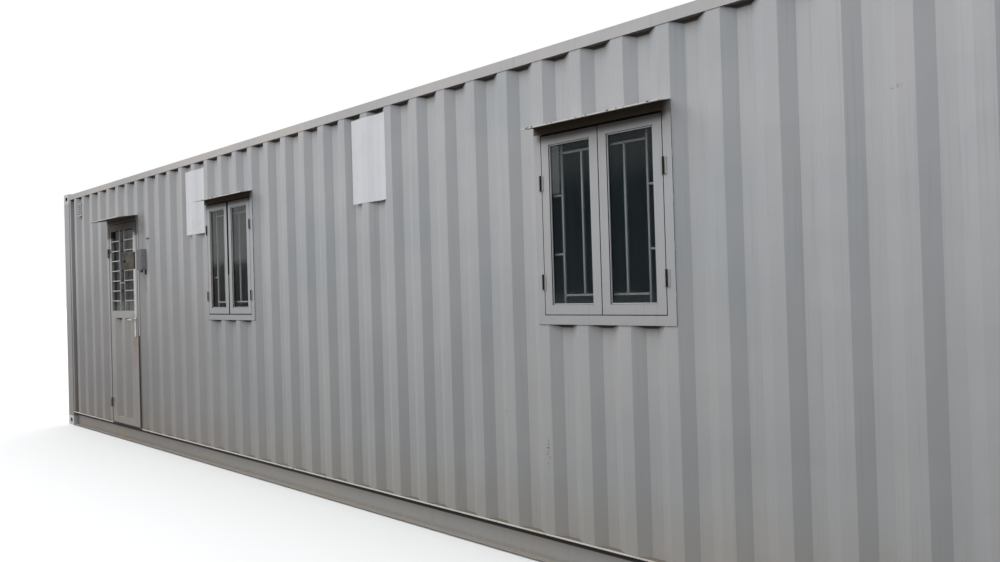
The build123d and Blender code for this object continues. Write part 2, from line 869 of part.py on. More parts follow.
with BuildPart() as window_hinges:
    for name, centre_x in window_centres.items():
        for z in window_hinge_heights[name]:
            with Locations((centre_x, flange_face, z)):
                with GridLocations(window_width - 2 * frame_face + sash_gap, 1, 2, 1):
                    Box(
                        window_hinge_width,
                        window_hinge_plate,
                        window_hinge_height,
                        align=(Align.CENTER, Align.MAX, Align.CENTER),
                    )
                    Cylinder(
                        window_hinge_radius,
                        window_hinge_height,
                        align=(Align.CENTER, Align.MAX, Align.CENTER),
                    )

export(window_hinges.part, "window_hinges")


def fitted_to_wall(x0, x1, outer_depth):
    """Plan of a box on the front wall, its back following the corrugation."""
    wall_line = stretch(bends, x0, x1)
    return [(x0, outer_depth), (x1, outer_depth)] + list(reversed(wall_line))


# Guard box for the padlock beside the door, open underneath
guard_x0 = door_x1 + guard_offset
guard_x1 = guard_x0 + guard_width
guard_plan = fitted_to_wall(guard_x0, guard_x1, -guard_depth)

with BuildPart() as padlock_guard:
    with BuildSketch(Plane.XY.offset(guard_bottom)):
        with BuildLine():
            Polyline(*[(x, front_crest + depth) for x, depth in guard_plan], close=True)
        make_face()
    extrude(amount=guard_top - guard_bottom)
    with Locations(((guard_x0 + guard_x1) / 2, front_crest, guard_bottom)):
        Box(
            guard_width - 2 * guard_sheet,
            2 * (guard_depth - guard_sheet),
            guard_top - guard_bottom - guard_sheet,
            align=(Align.CENTER, Align.CENTER, Align.MIN),
            mode=Mode.SUBTRACT,
        )

export(padlock_guard.part, "padlock_guard")

# Ventilators in the recess next to the first crest, one on each side at opposite ends
vent_x = crest_edge(0) + crest + slope + recess / 2 + vent_shift
vent_bottom = rail_z - vent_drop - vent_height


def ventilator():
    """Cover fitted into a recess of the front wall, with level slots that let the air through."""
    plan = fitted_to_wall(vent_x - vent_width / 2, vent_x + vent_width / 2, vent_setback)
    with BuildPart() as cover:
        with BuildSketch(Plane.XY.offset(vent_bottom)):
            with BuildLine():
                Polyline(*[(x, front_crest + depth) for x, depth in plan], close=True)
            make_face()
        extrude(amount=vent_height)
        with BuildSketch(Plane.XZ.offset(-(front_crest + vent_setback))):
            with Locations((vent_x, vent_bottom + vent_height / 2)):
                with GridLocations(1, vent_slot_spacing, 1, vent_slots):
                    Rectangle(vent_width - 2 * vent_slot_margin, vent_slot_height)
        extrude(amount=-vent_slot_depth, mode=Mode.SUBTRACT)
    return cover.part


front_vent = ventilator()
turn_centre = Axis((0, middle_y, 0), (0, 0, 1))
with BuildPart() as ventilators:
    add(front_vent)
    add(front_vent.rotate(turn_centre, 180))

export(ventilators.part, "ventilators")

# Cargo doors: two leaves set back so that the locking bars stay inside the outline
cargo_x1 = cargo_end - cargo_setback
cargo_z0 = end_sill_top + cargo_gap
cargo_z1 = door_header_z - cargo_gap
cargo_y0 = front_face + post_width + cargo_gap
cargo_width = (width - 2 * post_width - 3 * cargo_gap) / 2
cargo_height = cargo_z1 - cargo_z0
cargo_inner_height = cargo_height - 2 * cargo_frame
rib_pitch = cargo_flat + 2 * cargo_rib_slope + cargo_rib_recess
rib_count = int((cargo_inner_height - cargo_rib_recess) / rib_pitch)


def cargo_bends():
    """Bends of a cargo door's sheet as (height, depth)."""
    middle = cargo_inner_height / 2
    points = [(0, 0)]
    for number in range(rib_count):
        centre = middle + (number - (rib_count - 1) / 2) * rib_pitch
        half = cargo_rib_recess / 2
        points += [(centre - half - cargo_rib_slope, 0), (centre - half, cargo_rib_depth)]
        points += [(centre + half, cargo_rib_depth), (centre + half + cargo_rib_slope, 0)]
    return points + [(cargo_inner_height, 0)]


def cargo_door(start_y):
    """One leaf: a tube frame with a ribbed sheet in it."""
    with BuildPart() as leaf:
        with BuildSketch(Plane.YZ.offset(cargo_x1 - cargo_depth)):
            with Locations((start_y + cargo_width / 2, (cargo_z0 + cargo_z1) / 2)):
                Rectangle(cargo_width, cargo_height)
                Rectangle(
                    cargo_width - 2 * cargo_frame,
                    cargo_height - 2 * cargo_frame,
                    mode=Mode.SUBTRACT,
                )
        extrude(amount=cargo_depth)
        with BuildSketch(Plane.XZ.offset(-(start_y + cargo_frame))):
            with BuildLine():
                outline = sheet_outline(cargo_bends(), cargo_sheet)
                sheet_z = cargo_z0 + cargo_frame
                Polyline(*[(cargo_x1 - depth, sheet_z + z) for z, depth in outline], close=True)
            make_face()
        extrude(amount=-(cargo_width - 2 * cargo_frame))
    return leaf.part


cargo_starts = (cargo_y0, cargo_y0 + cargo_width + cargo_gap)
export(cargo_door(cargo_starts[0]), "cargo_door_left")
export(cargo_door(cargo_starts[1]), "cargo_door_right")

# Hinges of the cargo doors: a pin and its lug on the post, and a blade on the leaf
pin_x = cargo_x1 + cargo_hinge_radius

with BuildPart() as cargo_hinges:
    for face_y, inward in ((front_face + post_width, 1), (back_face - post_width, -1)):
        for z in cargo_hinge_heights:
            with BuildSketch(Plane.XY.offset(z - cargo_hinge_height / 2)):
                with Locations((pin_x, face_y + inward * cargo_hinge_radius)):
                    Circle(cargo_hinge_radius)
                with Locations((pin_x, face_y + inward * cargo_hinge_radius / 2)):
                    Rectangle(2 * cargo_hinge_radius, cargo_hinge_radius)
                with Locations(
                    (cargo_x1 + cargo_hinge_plate / 2, face_y + inward * cargo_hinge_width / 2)
                ):
                    Rectangle(cargo_hinge_plate, cargo_hinge_width)
            extrude(amount=cargo_hinge_height)

export(cargo_hinges.part, "cargo_door_hinges")

# Locking bars with their brackets, and the flat handles that turn them
bar_x = cargo_x1 + bar_standoff

with BuildPart() as locking_bars:
    for offset in bar_offsets:
        for side in (-1, 1):
            y = middle_y + side * offset
            with BuildSketch(Plane.XY.offset(cargo_z0)):
                with Locations((bar_x, y)):
                    Circle(bar_radius)
            extrude(amount=cargo_height)
            for number in range(rib_count + 1):
                z = (cargo_z0 + cargo_z1) / 2 + (number - rib_count / 2) * rib_pitch
                with Locations((cargo_x1, y, z)):
                    Box(
                        bar_standoff,
                        bracket_width,
                        bracket_height,
                        align=(Align.MIN, Align.CENTER, Align.CENTER),
                    )

export(locking_bars.part, "locking_bars")

with BuildPart() as locking_handles:
    for offset, z, outward in zip(bar_offsets, (inner_handle_z, outer_handle_z), (1, -1)):
        for side in (-1, 1):
            y = middle_y + side * (offset + outward * handle_length / 2)
            with BuildSketch(Plane.YZ.offset(bar_x + bar_radius)):
                with Locations((y, z)):
                    SlotOverall(handle_length, handle_height)
            extrude(amount=handle_thickness)

export(locking_handles.part, "locking_handles")
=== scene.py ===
"""Looks of the shipping container cabin: weathered paint, glass, window bars, welds and small hardware."""

import math
import random

import bmesh
import bpy
from mathutils import Matrix, Vector


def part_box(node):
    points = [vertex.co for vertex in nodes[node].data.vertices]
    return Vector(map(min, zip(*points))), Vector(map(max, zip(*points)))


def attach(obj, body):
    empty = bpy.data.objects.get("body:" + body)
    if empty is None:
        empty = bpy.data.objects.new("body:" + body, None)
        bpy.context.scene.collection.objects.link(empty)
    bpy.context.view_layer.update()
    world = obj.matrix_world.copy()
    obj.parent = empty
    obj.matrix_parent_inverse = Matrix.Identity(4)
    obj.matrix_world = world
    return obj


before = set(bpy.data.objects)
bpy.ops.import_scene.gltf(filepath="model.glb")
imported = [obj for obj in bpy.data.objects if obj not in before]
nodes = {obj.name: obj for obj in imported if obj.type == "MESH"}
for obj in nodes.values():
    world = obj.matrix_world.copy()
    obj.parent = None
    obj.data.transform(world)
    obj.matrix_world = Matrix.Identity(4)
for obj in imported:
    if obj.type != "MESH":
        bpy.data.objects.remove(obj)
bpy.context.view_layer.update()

# Levels and planes read from the frame
wall_low, wall_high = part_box("front_wall_right")
post_low, post_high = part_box("corner_posts")
CREST_Y = wall_low.y
FLANGE_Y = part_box("near_window_frame")[0].y
MIDDLE_Y = (post_low.y + post_high.y) / 2
BLIND_X = post_low.x
CARGO_X = post_high.x
RAIL_Z = wall_high.z

# Corrugation of the side walls, in metres from the blind end
PITCH = 0.278
CREST = 0.072
SLOPE = 0.068
FIRST_CREST = 0.361
DEPTH = 0.036

# Camera: a 29.5 mm lens on a 36 mm sensor, standing near the cargo end and looking along the wall
SENSOR_MM = 36.0
FOCAL_PIXELS = 819.5
IMAGE_WIDTH = 1000
CAMERA_ALONG = 11.274
CAMERA_OUT = 3.388
CAMERA_HEIGHT = 1.549
CAMERA_YAW = math.radians(44.599)
CAMERA_PITCH = 0.0098
CAMERA_ROLL = -0.0291
FARTHEST_SEEN = 500


def make_camera():
    """Camera at the photograph's place, turned by its yaw, pitch and roll."""
    ahead = Vector((-math.cos(CAMERA_YAW), math.sin(CAMERA_YAW), 0))
    forward = ahead * math.cos(CAMERA_PITCH) + Vector((0, 0, math.sin(CAMERA_PITCH)))
    level = forward.cross(Vector((0, 0, 1))).normalized()
    upright = level.cross(forward)
    right = level * math.cos(CAMERA_ROLL) + upright * math.sin(CAMERA_ROLL)
    up = upright * math.cos(CAMERA_ROLL) - level * math.sin(CAMERA_ROLL)
    place = Vector((BLIND_X + CAMERA_ALONG, CREST_Y - CAMERA_OUT, CAMERA_HEIGHT))
    camera = bpy.data.objects.new("camera", bpy.data.cameras.new("camera"))
    camera.data.sensor_width = SENSOR_MM
    camera.data.lens = FOCAL_PIXELS / IMAGE_WIDTH * SENSOR_MM
    camera.data.clip_end = FARTHEST_SEEN
    turned = Matrix((right, up, -forward)).transposed()
    camera.matrix_world = Matrix.Translation(place) @ turned.to_4x4()
    bpy.context.scene.collection.objects.link(camera)
    bpy.context.scene.camera = camera


def srgb(red, green, blue):
    """Linear colour from 0 to 255 display values."""
    values = []
    for value in (red, green, blue):
        share = value / 255
        values.append(share / 12.92 if share <= 0.04045 else ((share + 0.055) / 1.055) ** 2.4)
    return (*values, 1)


class NodeTree:
    """Adds nodes to a shader tree and joins them."""

    def __init__(self, tree):
        self.tree = tree

    def node(self, kind, inputs=(), **settings):
        """New node; its inputs are values or the outputs of other nodes."""
        made = self.tree.nodes.new(kind)
        for key, value in settings.items():
            setattr(made, key, value)
        for key, value in dict(inputs).items():
            self.put(made.inputs[key], value)
        return made

    def put(self, socket, value):
        if isinstance(value, bpy.types.NodeSocket):
            self.tree.links.new(value, socket)
        else:
            socket.default_value = value

    def math(self, operation, first, second=0.0, clamp=False):
        made = self.node("ShaderNodeMath", {0: first, 1: second}, operation=operation, use_clamp=clamp)
        return made.outputs["Value"]


class Shader(NodeTree):
    """A node material whose colour is built up in layers."""

    def __init__(self, name, base=None):
        self.material = bpy.data.materials.new(name)
        self.material.use_nodes = True
        super().__init__(self.material.node_tree)
        self.bsdf = self.tree.nodes["Principled BSDF"]
        coordinates = self.node("ShaderNodeTexCoord")
        self.place = coordinates.outputs["Object"]
        self.normal = coordinates.outputs["Normal"]
        self.colour = base
        self.hidden = 0.0

    def times(self, first, *others):
        """Product of two or more values."""
        for other in others:
            first = self.math("MULTIPLY", first, other)
        return first

    def plus(self, first, second):
        """Sum, limited to 0..1."""
        return self.math("ADD", first, second, clamp=True)

    def minus(self, first, second):
        """First less second, limited to 0..1."""
        return self.math("SUBTRACT", first, second, clamp=True)

    def ramp(self, value, low, high):
        """0 at low and 1 at high, clamped and smoothed."""
        inputs = {"Value": value, "From Min": low, "From Max": high}
        return self.node("ShaderNodeMapRange", inputs, interpolation_type="SMOOTHSTEP").outputs["Result"]

    def mix(self, share, first, second, kind="RGBA"):
        """The first colour where the share is 0 and the second where it is 1."""
        inputs = {"Factor": share, "A": first, "B": second}
        return self.node("ShaderNodeMix", inputs, data_type=kind).outputs["Result"]

    def mix_value(self, share, first, second):
        return self.mix(share, first, second, kind="FLOAT")

    def scaled(self, scale):
        """The place on the object, stretched by a factor along each axis."""
        return self.node("ShaderNodeMapping", {"Vector": self.place, "Scale": scale}).outputs["Vector"]

    def noise(self, size, detail=4.0, rough=0.55, stretch=(1, 1, 1)):
        """Noise whose patches are about size metres across."""
        place = self.scaled([1 / (size * part) for part in stretch])
        inputs = {"Vector": place, "Scale": 1.0, "Detail": detail, "Roughness": rough}
        return self.node("ShaderNodeTexNoise", inputs).outputs["Fac"]

    def spots(self, size, keep):
        """Small round spots, keep is the share of their cells that shows."""
        cells = self.node("ShaderNodeTexVoronoi", {"Vector": self.scaled([1 / size] * 3), "Scale": 1.0})
        parts = self.node("ShaderNodeSeparateColor", {"Color": cells.outputs["Color"]})
        chosen = self.ramp(parts.outputs["Red"], 1 - keep, 1 - keep + 0.01)
        return self.times(chosen, self.ramp(cells.outputs["Distance"], 0.32, 0.12))

    def axis(self, name):
        return self.node("ShaderNodeSeparateXYZ", {"Vector": self.place}).outputs[name]

    def normal_axis(self, name):
        return self.node("ShaderNodeSeparateXYZ", {"Vector": self.normal}).outputs[name]

    def square_to(self, name, low, high):
        """Ramp over how squarely a face looks along an axis, either way."""
        return self.ramp(self.math("ABSOLUTE", self.normal_axis(name)), low, high)

    def facing_down(self):
        return self.ramp(self.normal_axis("Z"), -0.3, -0.8)

    def facing_up(self):
        return self.ramp(self.normal_axis("Z"), 0.4, 0.9)

    def between(self, places, low, high, soft):
        """1 where each place lies between its low and high and 0 elsewhere, fading over soft metres."""
        share = 1.0
        for place, start, end in zip(places, low, high):
            rise, fall = self.ramp(place, start - soft, start), self.ramp(place, end + soft, end)
            share = self.times(share, rise, fall)
        return share

    def inside(self, low, high, soft):
        """1 inside a box and 0 outside it, fading over soft metres."""
        return self.between([self.axis(name) for name in "XYZ"], low, high, soft)

    def inside_corners(self, low, high, soft):
        """As inside, for a box at the far end of X and Y that is mirrored to all four corners."""
        along = self.math("ABSOLUTE", self.axis("X"))
        across = self.math("ABSOLUTE", self.math("SUBTRACT", self.axis("Y"), MIDDLE_Y))
        return self.between((along, across, self.axis("Z")), low, high, soft)

    def around(self, place, size):
        """1 at a place on the object and 0 beyond its size along each axis."""
        kind = "ShaderNodeVectorMath"
        shifted = self.node(kind, {0: self.place, 1: place}, operation="SUBTRACT").outputs["Vector"]
        inputs = {0: shifted, 1: [1 / part for part in size]}
        scaled = self.node(kind, inputs, operation="MULTIPLY").outputs["Vector"]
        distance = self.node(kind, {0: scaled}, operation="LENGTH").outputs["Value"]
        return self.ramp(distance, 1.0, 0.6)

    def tucked(self, edge_z, x0, x1, slant):
        """Where shade is painted on the wall just under an edge: 1 there, reaching lower the deeper the
        wall lies.
        """
        drop = self.minus(edge_z, self.axis("Z"))
        depth = self.times(self.minus(self.axis("Y"), CREST_Y), slant)
        wedge = self.ramp(self.minus(depth, drop), 0.0, TUCK_FADE)
        return self.times(wedge, self.inside(*wall_box((x0, x1), (edge_z - TUCK_REACH, edge_z)), 0.002))

    def layer(self, tone, *shares):
        """Cover the colour so far with a tone, by the product of the shares."""
        self.colour = self.mix(self.times(*shares), self.colour, tone)

    def shade(self, tone, share, cover=1.0):
        """A layer of painted shade, which doesn't shine either."""
        self.layer(tone, share, cover)
        self.hidden = self.plus(self.hidden, share)

    def finish(self, roughness, metallic=0.0, bumps=(), shine=0.5):
        """Join colour, roughness and a list of (height, strength, distance) bumps."""
        sockets = self.bsdf.inputs
        self.put(sockets["Base Color"], self.colour)
        self.put(sockets["Specular IOR Level"], shine)
        self.put(sockets["Roughness"], roughness)
        self.put(sockets["Metallic"], metallic)
        under = {}
        for height, strength, distance in bumps:
            inputs = {"Height": height, "Strength": strength, "Distance": distance, **under}
            under = {"Normal": self.node("ShaderNodeBump", inputs).outputs["Normal"]}
        for key, normal in under.items():
            self.put(sockets[key], normal)
        return self.material


# Paint
PAINT = srgb(174, 174, 176)
PAINT_COOL = srgb(166, 169, 172)
PAINT_WARM = srgb(171, 169, 163)
FRAME_PAINT = srgb(168, 167, 169)
POST_PAINT = srgb(162, 160, 159)
LEAF_PAINT = srgb(181, 179, 176)
# Painted highlight along the leaf's stile
LEAF_EDGE_HIGHLIGHT = srgb(222, 220, 214)
TOP_PAINT = srgb(186, 181, 177)
RAIL_PAINT = srgb(169, 167, 164)
BAR_PAINT = srgb(204, 208, 210)
CASTING_PAINT = srgb(186, 186, 184)
HOOD_PAINT = srgb(172, 170, 166)
# The hoods' rims, paler than the hoods: a painted highlight along their edges
RIM_HIGHLIGHT_PAINT = srgb(194, 192, 187)
LEVER_PAINT = srgb(196, 194, 189)
GUARD_FRONT = srgb(104, 105, 109)
# The guard box's sides turned to X, painted lighter than its front: painted light
GUARD_SIDE_PAINTED_LIGHT = srgb(140, 141, 147)

# Dirt, painted light and shade, and rust
# Dust and painted shade that thicken downwards
FILM_AND_SHADE = srgb(122, 121, 118)
# Grey film: the roller's fine stripes, and painted shade on the lower crests towards the blind end
GREY_FILM_AND_SHADE = srgb(70, 70, 71)
# Painted cool light on the slopes of the folds
FOLD_PAINTED_COOL_LIGHT = srgb(126, 140, 152)
# Painted shade with a brown tint towards the blind end
FAR_END_SHADE = srgb(86, 63, 52)
DIRT = srgb(138, 126, 110)
DUST = srgb(150, 142, 128)
GRIME = srgb(84, 76, 66)
MUD = srgb(140, 122, 88)
# Darker band along the bottom rail's foot
FOOT_DARKENING = srgb(66, 52, 40)
SOOT = srgb(78, 70, 60)
GAP_SHADE = srgb(18, 16, 15)
# Painted shade under the hoods, and the colour of bare scratches
HOOD_SHADE_AND_SCRATCH = srgb(58, 49, 41)
# Painted shade on the hoods' undersides, the frame heads and the wall under edges
HOOD_UNDERSIDE_SHADE = srgb(90, 82, 72)
# Rust and painted shade on faces that look down
UNDERSIDE_RUST_AND_SHADE = srgb(50, 41, 34)
RUST_DARK = srgb(74, 40, 24)
RUST_LIGHT = srgb(142, 84, 44)
RUST_RUN = srgb(120, 92, 74)

# Share of painted cool light on the folds, where dust and painted shade thicken along Z and X, and how
# much of them there is
FOLD_LIGHT_SHARE = 0.08
FILM_AND_SHADE_TOP = 2.6
FILM_AND_SHADE_BOTTOM = 0.1
FILM_AND_SHADE_SHARE = 0.55
FAR_RAMP_START = 0.3
FAR_RAMP_END = -3.2
FAR_CREST_SHADE_TOP = 2.3
FAR_CREST_SHADE_BOTTOM = 0.9
FAR_CREST_SHADE_SHARE = 0.30
FAR_END_SHADE_START = -1.0
FAR_END_SHADE_END = -4.7
FAR_END_SHADE_TOP = 2.2
FAR_END_SHADE_BOTTOM = 0.8
FAR_END_SHADE_HIGH = 0.16
FAR_END_SHADE_LOW = 0.25
SPLASH_TOP = 0.78
SPLASH_BOTTOM = 0.30
SPLASH_RISE = 0.35

# Painted shade tucked under an edge, and the depth over which painted shade darkens an open gap
TUCK_FADE = 0.008
TUCK_REACH = 0.05
GAP_FADE = 0.003


def streaks(s, cool, warm, patches):
    """Rain streaks, the roller's fine stripes and broad runs."""
    streak = s.noise(0.045, detail=4, stretch=(1, 1, 26))
    stripe = s.noise(0.011, detail=3, stretch=(1, 1, 70))
    run = s.noise(0.10, detail=3, stretch=(1, 1, 9))
    s.layer(warm, s.ramp(streak, 0.5, 0.78), patches)
    s.layer(GREY_FILM_AND_SHADE, s.ramp(stripe, 0.52, 0.8), 0.16)
    s.layer(cool, s.ramp(run, 0.5, 0.75), patches)


def dust_and_painted_light(s):
    """Painted cool light on the near folds' slopes, dust and painted shade that thicken downwards, and
    painted shade towards the blind end.
    """
    height = s.axis("Z")
    far = s.ramp(s.axis("X"), FAR_RAMP_START, FAR_RAMP_END)
    # Painted cool light on the slopes that turn to X, fading towards the blind end
    s.layer(FOLD_PAINTED_COOL_LIGHT, s.square_to("X", 0.2, 0.4), s.minus(1.0, far), FOLD_LIGHT_SHARE)
    # Dust and painted shade, thickening downwards
    s.layer(FILM_AND_SHADE, s.ramp(height, FILM_AND_SHADE_TOP, FILM_AND_SHADE_BOTTOM), FILM_AND_SHADE_SHARE)
    # Painted shade on the lower crests towards the blind end
    far_low_shade = s.times(far, s.ramp(height, FAR_CREST_SHADE_TOP, FAR_CREST_SHADE_BOTTOM))
    s.layer(GREY_FILM_AND_SHADE, far_low_shade, s.square_to("Y", 0.9, 0.98), FAR_CREST_SHADE_SHARE)
    # Painted shade, brownish, towards the blind end
    farther = s.ramp(s.axis("X"), FAR_END_SHADE_START, FAR_END_SHADE_END)
    darkness = s.mix_value(s.ramp(height, FAR_END_SHADE_TOP, FAR_END_SHADE_BOTTOM), FAR_END_SHADE_HIGH, FAR_END_SHADE_LOW)
    front_side = s.ramp(s.axis("Y"), 0.1, -0.1)
    s.layer(FAR_END_SHADE, farther, darkness, front_side)


def splashes(s, low_dirt):
    """Dirt splashed up to an uneven height, and specks of soot."""
    rise = s.times(s.noise(0.09, detail=5, stretch=(1, 1, 4)), SPLASH_RISE)
    s.layer(DIRT, s.ramp(s.plus(s.axis("Z"), rise), SPLASH_TOP, SPLASH_BOTTOM), low_dirt)
    s.layer(SOOT, s.ramp(s.noise(0.006, detail=2), 0.62, 0.75), 0.10)


def add_stains_and_shade(s, stains_and_shade):
    """Stains and painted shade as (low, high, soft, strength, colour): painted shade is smooth and unlit,
    the rest is broken up.
    """
    for low, high, soft, strength, colour in stains_and_shade:
        share = s.times(s.inside(low, high, soft), strength)
        if colour in (GAP_SHADE, HOOD_SHADE_AND_SCRATCH):
            s.shade(colour, share)
        else:
            s.layer(colour, share, s.ramp(s.noise(0.03, detail=5, stretch=(1, 1, 2)), 0.25, 0.5))


def painted_gap_shade(s, gap_y, closed):
    """Painted shade on edges deeper than gap_y, except within the closed boxes."""
    shaded_gap = s.times(s.square_to("Y", 0.6, 0.3), s.ramp(s.axis("Y"), gap_y, gap_y + GAP_FADE))
    for low, high in closed:
        shaded_gap = s.times(shaded_gap, s.minus(1.0, s.inside(low, high, 0.001)))
    s.shade(GAP_SHADE, shaded_gap, 0.97)


def rust_pits(s, rust, marks):
    """Pits strewn over the paint and gathered in the marks, with their halo; gives back where they are."""
    pits = s.spots(0.03, rust)
    for place, size, strength in marks:
        broken = s.ramp(s.noise(0.011, detail=3), 0.54, 0.60)
        pits = s.plus(pits, s.times(s.around(place, size), broken, strength))
    s.layer(RUST_DARK, pits)
    s.layer(RUST_LIGHT, pits, s.ramp(s.noise(0.012, detail=3), 0.45, 0.6), 0.5)
    return pits


def weathered_paint(
    name, base, cool=PAINT_COOL, warm=PAINT_WARM, low_dirt=0.34, rust=0.0, patches=0.35, under=0.5,
    marks=(), stains_and_shade=(), tears=(), tucks=(), gap_y=None, closed=(), shades=(),
):
    """Rolled-on paint over steel: cloudy tone, rain streaks, dust and painted shade that thicken
    downwards, and rust pits.

    Marks are chipped places as (place, size, strength), tears are bare scratches as (place, size), and
    tucks are edges whose shade is painted on the wall, as (height, x0, x1, slant). Edges deeper than gap_y
    get painted shade, except within the closed boxes. Paint inside a shade, a box as (low, high), gets
    painted shade, brown and unlit. Faces that look down get rust and painted shade by the under share.
    """
    s = Shader(name, base)
    cloud = s.noise(0.9, detail=5)
    s.layer(cool, s.ramp(cloud, 0.35, 0.68))
    streaks(s, cool, warm, patches)
    dust_and_painted_light(s)
    splashes(s, low_dirt)
    down = s.facing_down()
    s.hidden = s.times(down, under)
    add_stains_and_shade(s, stains_and_shade)
    # Rust and painted shade on faces that look down
    s.layer(UNDERSIDE_RUST_AND_SHADE, down, under)
    s.layer(DUST, s.facing_up(), 0.45)
    # Painted shade under edges, in open gaps and on the frame heads under the hoods
    for edge in tucks:
        s.shade(HOOD_UNDERSIDE_SHADE, s.tucked(*edge), 0.95)
    if gap_y is not None:
        painted_gap_shade(s, gap_y, closed)
    for low, high in shades:
        worn_and_shaded = s.mix_value(s.ramp(s.noise(0.05, detail=4), 0.3, 0.7), 0.86, 0.97)
        s.shade(HOOD_UNDERSIDE_SHADE, s.times(s.inside(low, high, 0.006), worn_and_shaded))
    for place, size in tears:
        s.layer(HOOD_SHADE_AND_SCRATCH, s.around(place, size))
    pits = rust_pits(s, rust, marks)
    bumps = [
        (s.noise(0.35, detail=2), 0.5, 0.012),
        (s.noise(0.004, detail=3), 0.25, 0.0006),
        (pits, 0.6, -0.0008),
    ]
    roughness = s.mix_value(s.ramp(cloud, 0.3, 0.7), 0.5, 0.64)
    return s.finish(roughness, bumps=bumps, shine=s.mix_value(s.hidden, 0.5, 0.02))


def rusting_paint(
    name, base, bare, amount, gloss=0.55, under=0.5, shade=UNDERSIDE_RUST_AND_SHADE, side=None,
    nicked=(), cavity=None, hollows=(), shine=0.5,
):
    """Thin paint that rust breaks through in patches, with rust and painted shade where it faces down.

    Side is the tone of faces turned to X, painted light for that side. Nicked places are boxes as
    (low, high) where the paint is knocked off in spots. The inside of a cavity, a box too, gets painted
    shade, and hollows are such boxes in one corner that are repeated at all four corners.
    """
    s = Shader(name, base)
    patch = s.ramp(s.noise(0.03, detail=7, rough=0.68), 0.62 - amount * 0.3, 0.70 - amount * 0.3)
    for low, high in nicked:
        knocks = s.ramp(s.noise(0.022, detail=4), 0.58, 0.62)
        patch = s.plus(patch, s.times(s.inside(low, high, 0.003), knocks))
    if side is not None:
        s.layer(side, s.square_to("X", 0.5, 0.8))
    s.layer(DIRT, s.ramp(s.noise(0.15, detail=4), 0.4, 0.75), 0.35)
    s.layer(s.mix(s.ramp(s.noise(0.01, detail=4), 0.35, 0.7), RUST_DARK, bare), patch)
    down = s.facing_down()
    # Rust and painted shade on faces that look down
    s.layer(shade, down, under)
    if cavity is not None:
        s.layer(GAP_SHADE, s.inside(*cavity, 0.0005))
    for low, high in hollows:
        s.layer(GAP_SHADE, s.inside_corners(low, high, 0.001))
    bumps = [(patch, 0.4, 0.0006), (s.noise(0.004, detail=3), 0.3, 0.0005)]
    return s.finish(s.mix_value(patch, gloss, 0.9), bumps=bumps, shine=s.mix_value(down, shine, 0.02))


def steel_metal(name, base, rough):
    """Bare or plated steel with brushed streaks and dull patches."""
    s = Shader(name, base)
    grain = s.noise(0.002, detail=3, stretch=(8, 1, 1))
    dull = s.ramp(s.noise(0.02, detail=5), 0.4, 0.7)
    s.layer(SOOT, dull, 0.25)
    return s.finish(s.mix_value(dull, rough, rough + 0.25), metallic=0.8, bumps=[(grain, 0.2, 0.0003)])


def window_glass(name, dust, clear, tint=srgb(20, 29, 33), hazes_and_reflections=(), shine=0.5):
    """Tinted, dusty pane that lets the bars behind it show.

    Hazes and painted reflections are paler places as (low, high, soft, share).
    """
    s = Shader(name, tint)
    film = s.ramp(s.noise(0.22, detail=6, rough=0.62, stretch=(1, 1, 2)), 0.3, 0.8)
    specks = s.ramp(s.noise(0.004, detail=2), 0.66, 0.76)
    share = s.plus(s.times(film, dust), s.times(specks, 0.04))
    for low, high, soft, paleness in hazes_and_reflections:
        share = s.plus(share, s.times(s.inside(low, high, soft), paleness))
    s.layer(srgb(196, 200, 198), share)
    s.put(s.bsdf.inputs["Alpha"], s.plus(share, 1 - clear))
    s.put(s.bsdf.inputs["IOR"], 1.5)
    waves = (s.noise(0.25, detail=1), 0.03, 0.002)
    return s.finish(s.mix_value(share, 0.03, 0.4), bumps=[waves], shine=shine)


def painted_hinge(name, plate_y):
    """Greasy dark knuckle on a plate that was painted over with the frame."""
    s = Shader(name)
    wear = s.ramp(s.noise(0.012, detail=5), 0.4, 0.65)
    knuckle = s.mix(wear, srgb(22, 21, 20), srgb(48, 43, 38))
    plate = s.mix(s.times(wear, 0.15), FRAME_PAINT, DIRT)
    s.colour = s.mix(s.ramp(s.axis("Y"), plate_y - 0.0015, plate_y - 0.0005), knuckle, plate)
    return s.finish(0.55, bumps=[(s.noise(0.003, detail=3), 0.3, 0.0004)], shine=0.12)


def plywood(name):
    """Worn, oiled floor plywood."""
    s = Shader(name, srgb(104, 74, 50))
    grain = s.noise(0.012, detail=6, stretch=(14, 1, 1))
    s.layer(srgb(134, 98, 66), s.ramp(grain, 0.3, 0.7))
    s.layer(srgb(96, 88, 78), s.ramp(s.noise(0.5, detail=5), 0.35, 0.7), 0.5)
    return s.finish(0.75, bumps=[(grain, 0.3, 0.0008)])


def plain_sheet(name):
    """Blank white notice, slightly dirty and faded at random."""
    s = Shader(name, srgb(206, 207, 212))
    s.layer(srgb(176, 174, 170), s.ramp(s.noise(0.12, detail=5), 0.45, 0.8), 0.3)
    return s.finish(0.42, bumps=[(s.noise(0.03, detail=2), 0.15, 0.0006)])


def solid_boxes(name):
    """Corners of each separate solid of a node, as (low, high)."""
    bm = bmesh.new()
    bm.from_mesh(nodes[name].data)
    bmesh.ops.remove_doubles(bm, verts=bm.verts, dist=0.00001)
    left = set(bm.verts)
    boxes = []
    while left:
        solid = [left.pop()]
        for vertex in solid:
            joined = {edge.other_vert(vertex) for edge in vertex.link_edges} & left
            left -= joined
            solid.extend(joined)
        axes = list(zip(*(vertex.co for vertex in solid)))
        boxes.append((Vector([min(axis) for axis in axes]), Vector([max(axis) for axis in axes])))
    bm.free()
    return sorted(boxes, key=lambda box: tuple(box[0]))


# Walls of a corner casting
CASTING_WALL = 0.020


